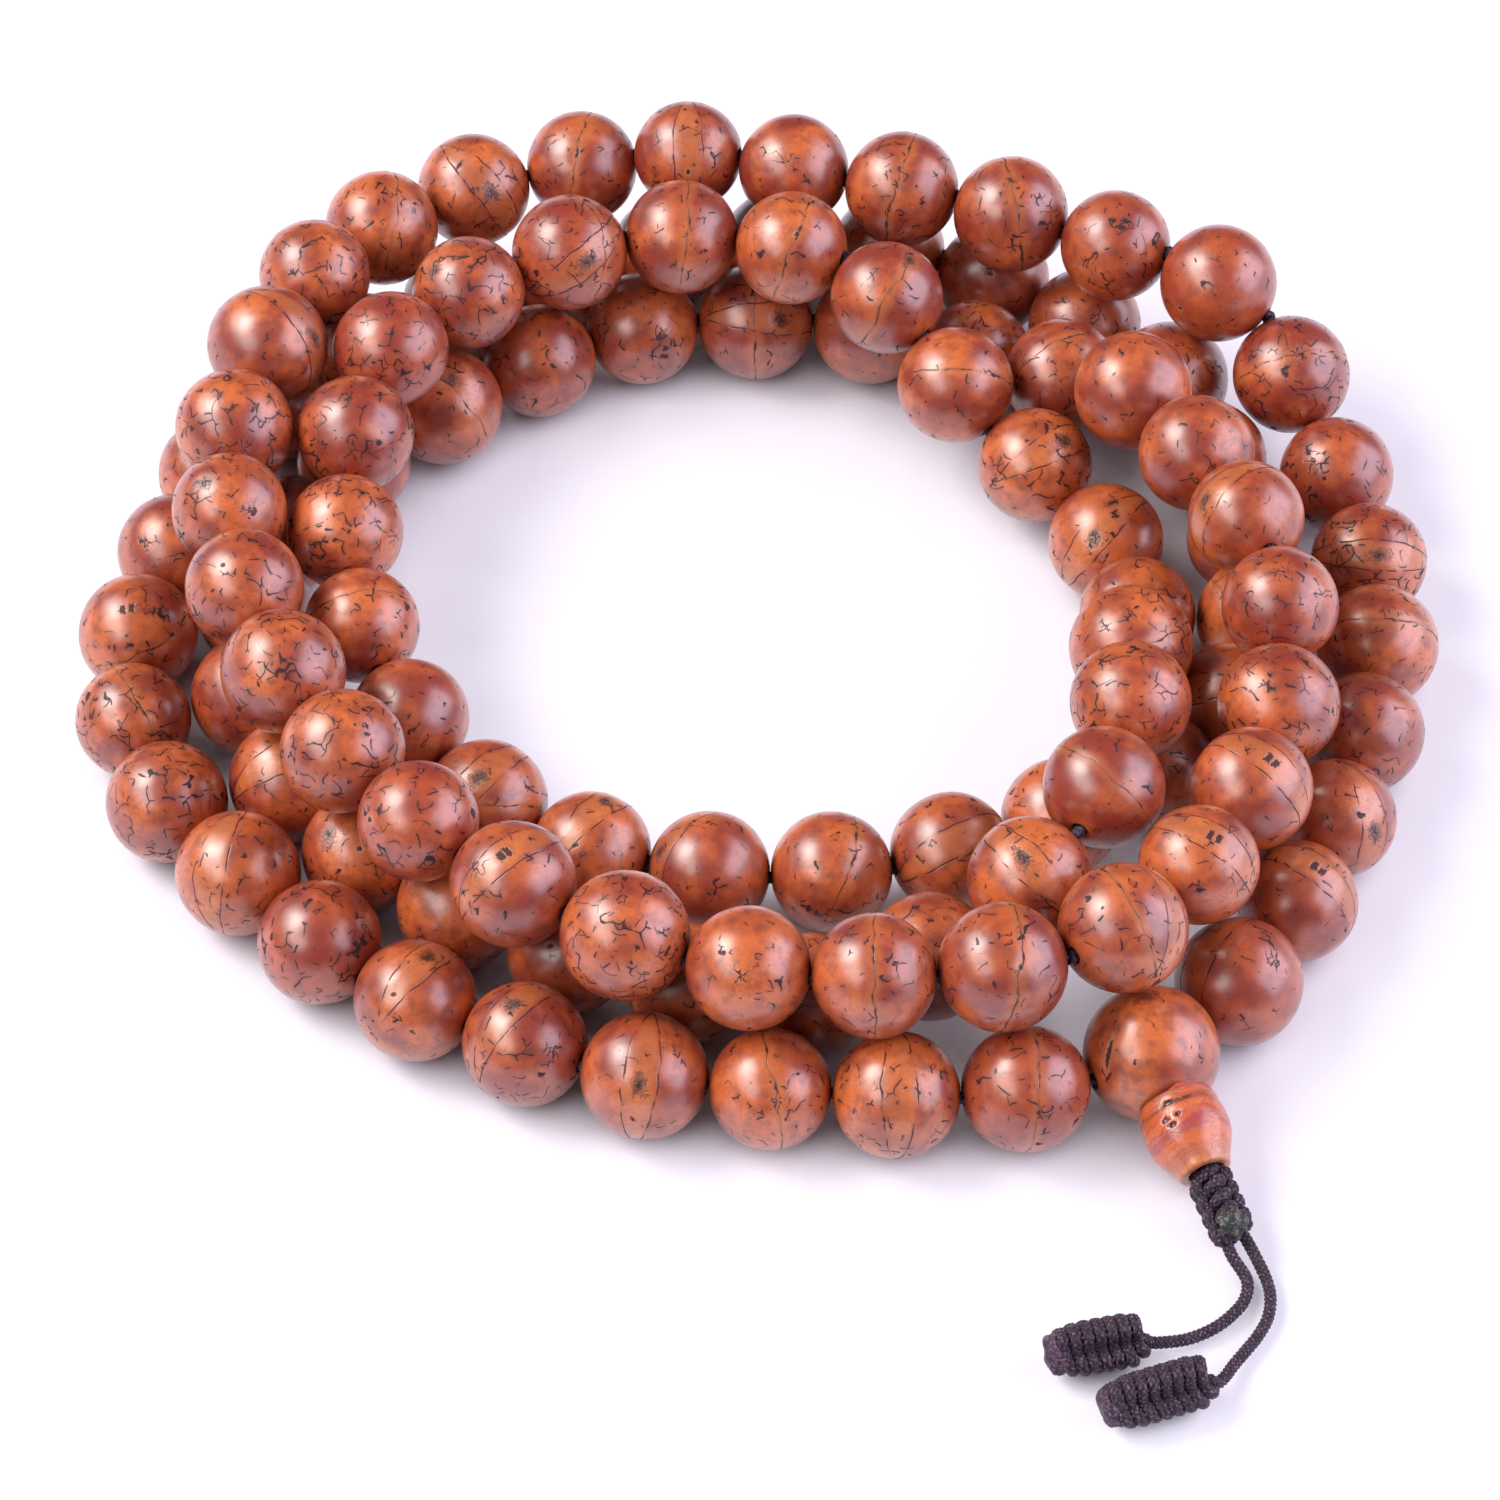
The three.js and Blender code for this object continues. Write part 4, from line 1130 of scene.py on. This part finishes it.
# %% Relief and polish of the seed
# Only the marks and the grain go into the relief. A crack is too narrow for its depth to show
relief = add(tree, "Math", {0: grain, 1: 0.08}, operation="MULTIPLY")
relief = add(tree, "Math", {0: marks, 1: -1.0, 2: relief}, operation="MULTIPLY_ADD")
bump = add(tree, "Bump", {"Height": relief, "Strength": 0.35, "Distance": 0.07 * MM})
gloss = add(tree, "MapRange", {"Value": patches, 1: 0.3, 2: 0.7, 3: 0.36, 4: 0.48})
gloss = add(tree, "Math", {0: dark, 1: 0.25, 2: gloss}, operation="MULTIPLY_ADD")
# A crack is open and keeps no polish, so it stays dark where the lamps shine on the seed
polish = add(tree, "Math", {0: dark, 1: -0.9, 2: 1.0}, operation="MULTIPLY_ADD")
shader = add(tree, "BsdfPrincipled", {
    "Base Color": base, "Roughness": gloss, "IOR": 1.52, "Normal": bump,
    "Coat Weight": polish, "Coat Roughness": 0.29, "Coat IOR": 1.68, "Coat Normal": bump,
})
add(tree, "OutputMaterial", {"Surface": shader})
for piece in (*seed_pieces.values(), guru_bead):
    paint(piece, seed_material)
print(seed_material.name, "has", len(tree.nodes), "nodes")

# %% [markdown]
# ## Waxed braided cord
#
# The cord is spun polyester, braided and waxed, of a dark purplish brown. The strands catch the light
# and the valleys between them stay nearly black. A pattern of stripes could be painted on, but the
# relief is already there. The colour follows the height stored on the braid as well: it paints shade
# into the valleys, nearly black, and pale flecks on the strands' tops are partly yarn and partly
# painted glints. Single yarns would be 0.05 mm across, too fine to show, so they are drawn at 0.24 mm.
# The melted end is the same polyester run together by a flame: greyish black and glossy, with pale
# flecks.

# %% Build the cord's material
cord_material, tree = new_material("waxed_polyester_braid")
place = add(tree, "TexCoord", out="Object")
height = add(tree, "Attribute", out="Fac", attribute_name="yarn_height")
yarn = add(tree, "TexNoise", {"Vector": place, "Scale": 1 / (0.24 * MM), "Detail": 2.0, "Roughness": 0.7})
wear = add(tree, "TexNoise", {"Vector": place, "Scale": 1 / (1.2 * MM), "Detail": 2.0})
# Painted shade: the colour runs from near black in the braid's valleys to purplish brown on its strands
ridge = add(tree, "MapRange", {"Value": height, 1: 0.35, 2: 0.95})
base = add(tree, "Mix", {0: ridge, 6: colour("#070409"), 7: colour("#3c2140")}, out=2, data_type="RGBA")
# Pale flecks on the strands' tops only: partly pale yarn, partly painted glints
specks = add(tree, "MapRange", {"Value": yarn, 1: 0.51, 2: 0.64, 3: 0.0, 4: 0.95})
specks = add(tree, "Math", {0: specks, 1: ridge}, operation="MULTIPLY")
worn = add(tree, "MapRange", {"Value": wear, 1: 0.4, 2: 0.7, 3: 0.0, 4: 0.35})
for share, code in ((specks, "#9c7a94"), (worn, "#33232f")):
    base = add(tree, "Mix", {0: share, 6: base, 7: colour(code)}, out=2, data_type="RGBA")
bump = add(tree, "Bump", {"Height": yarn, "Strength": 0.8, "Distance": 0.07 * MM})
shader = add(tree, "BsdfPrincipled", {
    "Base Color": base, "Roughness": 0.62, "Normal": bump, "Sheen Weight": 0.15, "Sheen Roughness": 0.4,
})
add(tree, "OutputMaterial", {"Surface": shader})
for piece in (stringing_cord, cord_pair, binding_knot):
    paint(piece, cord_material)
for facts in tail_facts.values():
    paint(facts["piece"], cord_material)
    paint(facts["knot"], cord_material)
print(cord_material.name, "has", len(tree.nodes), "nodes")

# %% Build the melted end's material
melted_material, tree = new_material("melted_polyester")
place = add(tree, "TexCoord", out="Object")
lumps = add(tree, "TexNoise", {"Vector": place, "Scale": 1 / (0.5 * MM), "Detail": 3.0, "Roughness": 0.6})
flecks = add(tree, "TexNoise", {"Vector": place, "Scale": 1 / (0.22 * MM), "Detail": 2.0})
base = add(tree, "Mix", {0: lumps, 6: colour("#15191b"), 7: colour("#4f5652")}, out=2, data_type="RGBA")
flecks = add(tree, "MapRange", {"Value": flecks, 1: 0.58, 2: 0.72, 3: 0.0, 4: 0.8})
base = add(tree, "Mix", {0: flecks, 6: base, 7: colour("#8f7d58")}, out=2, data_type="RGBA")
bump = add(tree, "Bump", {"Height": lumps, "Strength": 0.8, "Distance": 0.15 * MM})
shader = add(tree, "BsdfPrincipled", {"Base Color": base, "Roughness": 0.28, "Normal": bump})
add(tree, "OutputMaterial", {"Surface": shader})
paint(melted_end, melted_material)
print(melted_material.name, "has", len(tree.nodes), "nodes")

# %% [markdown]
# ## Polished tower seed
#
# The tower bead is redder and lighter than the others. Turning across the seed's layers has left soft
# stripes round it, from orange to pink, and fine radial grain on the neck. A dark brown band runs along
# the waist, and four dark pits lie on its upper side. A plain gradient along the bead would look
# printed, so the stripes come from a noise that runs along the bead and is bent by another.

# %% Patterns of the tower bead
tower_material, tree = new_material("polished_tower_seed")
skin = add(tree, "Attribute", out="Vector", attribute_name="tower_skin")
parts = add(tree, "SeparateXYZ", {0: skin}).node.outputs
drift = add(tree, "TexNoise", {"Vector": skin, "Scale": 0.35, "Detail": 3.0})
level = add(tree, "Math", {0: drift, 1: 3.2, 2: parts["Z"]}, operation="MULTIPLY_ADD")
layers = add(tree, "TexNoise", {"W": level, "Scale": 0.9, "Detail": 3.0}, noise_dimensions="1D")
streaks = add(tree, "VectorMath", {0: skin, 1: (0.5, 0.5, 2.4)}, operation="MULTIPLY")
streaks = add(tree, "TexNoise", {"Vector": streaks, "Scale": 1.0, "Detail": 4.0, "Roughness": 0.6})
stripes = add(tree, "MapRange", {"Value": layers, 1: 0.42, 2: 0.58})
pale = add(tree, "MapRange", {"Value": streaks, 1: 0.5, 2: 0.75, 4: 0.7})
waist = hair_line(tree, add(tree, "Math", {0: parts["Z"], 1: 1.15}, operation="SUBTRACT"), 0.34)
waist_break = add(tree, "MapRange", {"Value": streaks, 1: 0.35, 2: 0.6})
waist = add(tree, "Math", {0: waist, 1: waist_break}, operation="MULTIPLY")
neck = add(tree, "MapRange", {"Value": parts["Z"], 1: 4.6, 2: 6.2, 3: 0.0, 4: 0.6})
spoke = add(tree, "Math", {0: parts["X"], 1: parts["Y"]}, operation="ARCTAN2")
spoke = add(tree, "Math", {0: spoke, 1: 14.0}, operation="MULTIPLY")
spoke = add(tree, "TexNoise", {"W": spoke, "Scale": 1.0, "Detail": 2.0}, noise_dimensions="1D")
spoke = add(tree, "MapRange", {"Value": spoke, 1: 0.56, 2: 0.68})
spoke = add(tree, "Math", {0: spoke, 1: neck}, operation="MULTIPLY")

# The pits are dark where the mesh is dented, and fine scratches run between the stripes
pit = add(tree, "Attribute", out="Fac", attribute_name="tower_pits")
pit = add(tree, "MapRange", {"Value": pit, 1: 0.15, 2: 0.5})
scratches = add(tree, "VectorMath", {0: skin, 1: (1.4, 1.4, 3.2)}, operation="MULTIPLY")
scratches = add(tree, "TexVoronoi", {"Vector": scratches, "Scale": 0.7}, feature="DISTANCE_TO_EDGE")
scratches = add(tree, "MapRange", {"Value": scratches, 1: 0.012, 2: 0.04, 3: 1.0, 4: 0.0})
scratched = add(tree, "MapRange", {"Value": streaks, 1: 0.5, 2: 0.56, 4: 0.4})
scratches = add(tree, "Math", {0: scratches, 1: scratched}, operation="MULTIPLY")
marks = largest(tree, pit, scratches)
dark = add(tree, "Math", {0: marks, 1: 0.93}, operation="MULTIPLY")
print("patterns of the tower bead:", len(tree.nodes), "nodes")

# %% Colour and polish of the tower bead
base = add(tree, "Mix", {0: stripes, 6: colour("#d96a35"), 7: colour("#ac4a45")}, out=2, data_type="RGBA")
for share, code in (
    (pale, "#de8d62"), (waist, "#6b3320"), (neck, "#e0935e"), (spoke, "#6e2a1c"), (dark, "#240f10"),
):
    base = add(tree, "Mix", {0: share, 6: base, 7: colour(code)}, out=2, data_type="RGBA")
depth = add(tree, "Math", {0: marks, 1: -1.0}, operation="MULTIPLY")
bump = add(tree, "Bump", {"Height": depth, "Strength": 0.3, "Distance": 0.1 * MM})
shader = add(tree, "BsdfPrincipled", {
    "Base Color": base, "Roughness": 0.42, "IOR": 1.52, "Normal": bump,
    "Coat Weight": 1.0, "Coat Roughness": 0.22, "Coat Normal": bump,
})
add(tree, "OutputMaterial", {"Surface": shader})
paint(tower_bead, tower_material)
print(tower_material.name, "has", len(tree.nodes), "nodes")

# %% [markdown]
# ## Floor and light
#
# The strand lies on white paper. Stronger lamps would make the paper white, but they would wash out
# the seeds. So it gives a little light of its own, which only the camera and reflections see, and it
# reads as white and still keeps the shadows. Between and under the beads it gives less of it, which
# paints shade into the gaps.

# %% Lay the paper
bpy.ops.object.select_all(action="DESELECT")
bpy.ops.mesh.primitive_plane_add(size=3, location=(0, 0, -0.1 * MM))
floor = bpy.context.object
floor.name = "paper_floor"
paper_material, tree = new_material("white_paper")
seen = add(tree, "LightPath").node.outputs
straight = add(tree, "Math", {0: seen["Is Camera Ray"], 1: seen["Is Glossy Ray"]}, operation="MAXIMUM")
straight = add(tree, "Math", {0: straight, 1: seen["Is Transmission Ray"]}, operation="MAXIMUM")
paper = add(tree, "BsdfDiffuse", {"Color": colour("#d4d3dc")})
shaded = add(tree, "BsdfDiffuse", {"Color": colour("#c6c4ce")})
# The lamps don't reach the paper's far end. To the camera it is made up to white there
away = add(tree, "VectorMath", {0: add(tree, "TexCoord", out="Object")}, out="Value", operation="LENGTH")
made_up = add(tree, "MapRange", {"Value": away, 1: 0.35, 2: 0.7, 3: 0.0, 4: 0.6})
# Painted shade: between and under the beads, where little open sky reaches the paper, it gives none
# of its own light, so that the gaps go dark
open_sky = add(tree, "AmbientOcclusion", {"Distance": 16 * MM}, out="AO", samples=8)
own_light_with_gap_shade = add(tree, "MapRange", {"Value": open_sky, 1: 0.14, 2: 0.48, 3: 0.0, 4: 0.5})
shine = {0: made_up, 1: seen["Is Camera Ray"], 2: own_light_with_gap_shade}
shine = add(tree, "Math", shine, operation="MULTIPLY_ADD")
shine = add(tree, "Emission", {"Color": colour("#f6f4ff"), "Strength": shine})
bright = add(tree, "AddShader", {0: shaded, 1: shine})
add(tree, "OutputMaterial", {"Surface": add(tree, "MixShader", {0: straight, 1: paper, 2: bright})})
paint(floor, paper_material)
print(paper_material.name, "has", len(tree.nodes), "nodes")

# %% [markdown]
# Three soft boxes light the strand. A small one and a long strip from the upper left give each bead its
# bright spot with a soft tail, and a wide, cooler one from the right gives the pale patch. A single sky
# light would leave the polish without any shape. The world is dim, and it is white only straight to the
# camera: nothing on the strand is metal or glass, so no reflection has to show it.


# %% Light it
def soft_box(name, toward, distance, width, height, power, tint):
    """A rectangular lamp that faces the strand from a direction."""
    way = Vector(toward).normalized()
    bpy.ops.object.light_add(type="AREA", location=way * distance)
    lamp = bpy.context.object
    lamp.name = name
    lamp.rotation_euler = (-way).to_track_quat("-Z", "Y").to_euler()
    lamp.data.shape = "RECTANGLE"
    lamp.data.size = width
    lamp.data.size_y = height
    lamp.data.energy = power
    lamp.data.color = colour(tint)[:3]
    print(name, "gives", power, "W")


soft_box("key_box", (-0.61, 0.10, 0.79), 0.9, 0.36, 0.36, 3.6, "#fffaf4")
soft_box("strip_box", (-0.62, -0.12, 0.62), 0.95, 1.6, 0.46, 10.2, "#fff8f6")
soft_box("side_box", (0.84, -0.06, 0.48), 0.95, 1.2, 0.86, 12.0, "#efe9ff")
world = bpy.data.worlds.new("studio")
bpy.context.scene.world = world
world.use_nodes = True
tree = world.node_tree
tree.nodes.clear()
studio = add(tree, "Background", {"Color": colour("#f7f6ff"), "Strength": 0.09})
backdrop = add(tree, "Background", {"Color": colour("#ffffff"), "Strength": 1.0})
seen = add(tree, "LightPath").node.outputs
shown = add(tree, "MixShader", {0: seen["Is Camera Ray"], 1: studio, 2: backdrop})
add(tree, "OutputWorld", {"Surface": shown})
bpy.context.scene.view_settings.view_transform = "Standard"

# %% [markdown]
# ## Fastening everything to the frame
#
# On the real strand the cord holds everything. Here each piece rides on the body that carries it: a
# single bead and the tower bead each turn by themselves, and all else belongs to the strand. Each also
# says which CAD nodes it stands for, so that they are hidden, and which of the record's finishes it
# wears. That could be said piece by piece where each is made, but one list shows it at a glance.

# %% Ride and replace
fastened = [
    (piece, node if node in frame["bodies"] else "strand", [node], "bodhi_seed")
    for node, piece in seed_pieces.items()
]
fastened += [
    (guru_bead, "strand", ["guru_bead"], "bodhi_seed"),
    (tower_bead, "tower_bead", ["tower_bead"], "tower_seed"),
    (stringing_cord, "strand", ["stringing_cord"], "cord"),
    (cord_pair, "strand", ["cord_pair"], "cord"),
    (binding_knot, "strand", ["binding_knot"], "cord"),
    (melted_end, "strand", [], "cord"),
]
for side, facts in tail_facts.items():
    knot_nodes = [f"end_knot_core_{side}", f"end_knot_wrap_{side}"]
    fastened.append((facts["piece"], "strand", [f"tail_cord_{side}"], "cord"))
    fastened.append((facts["knot"], "strand", knot_nodes, "cord"))
for piece, body, nodes, slot in fastened:
    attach(piece, body)
    if nodes:
        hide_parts(*nodes)
print(len(fastened), "pieces are fastened")
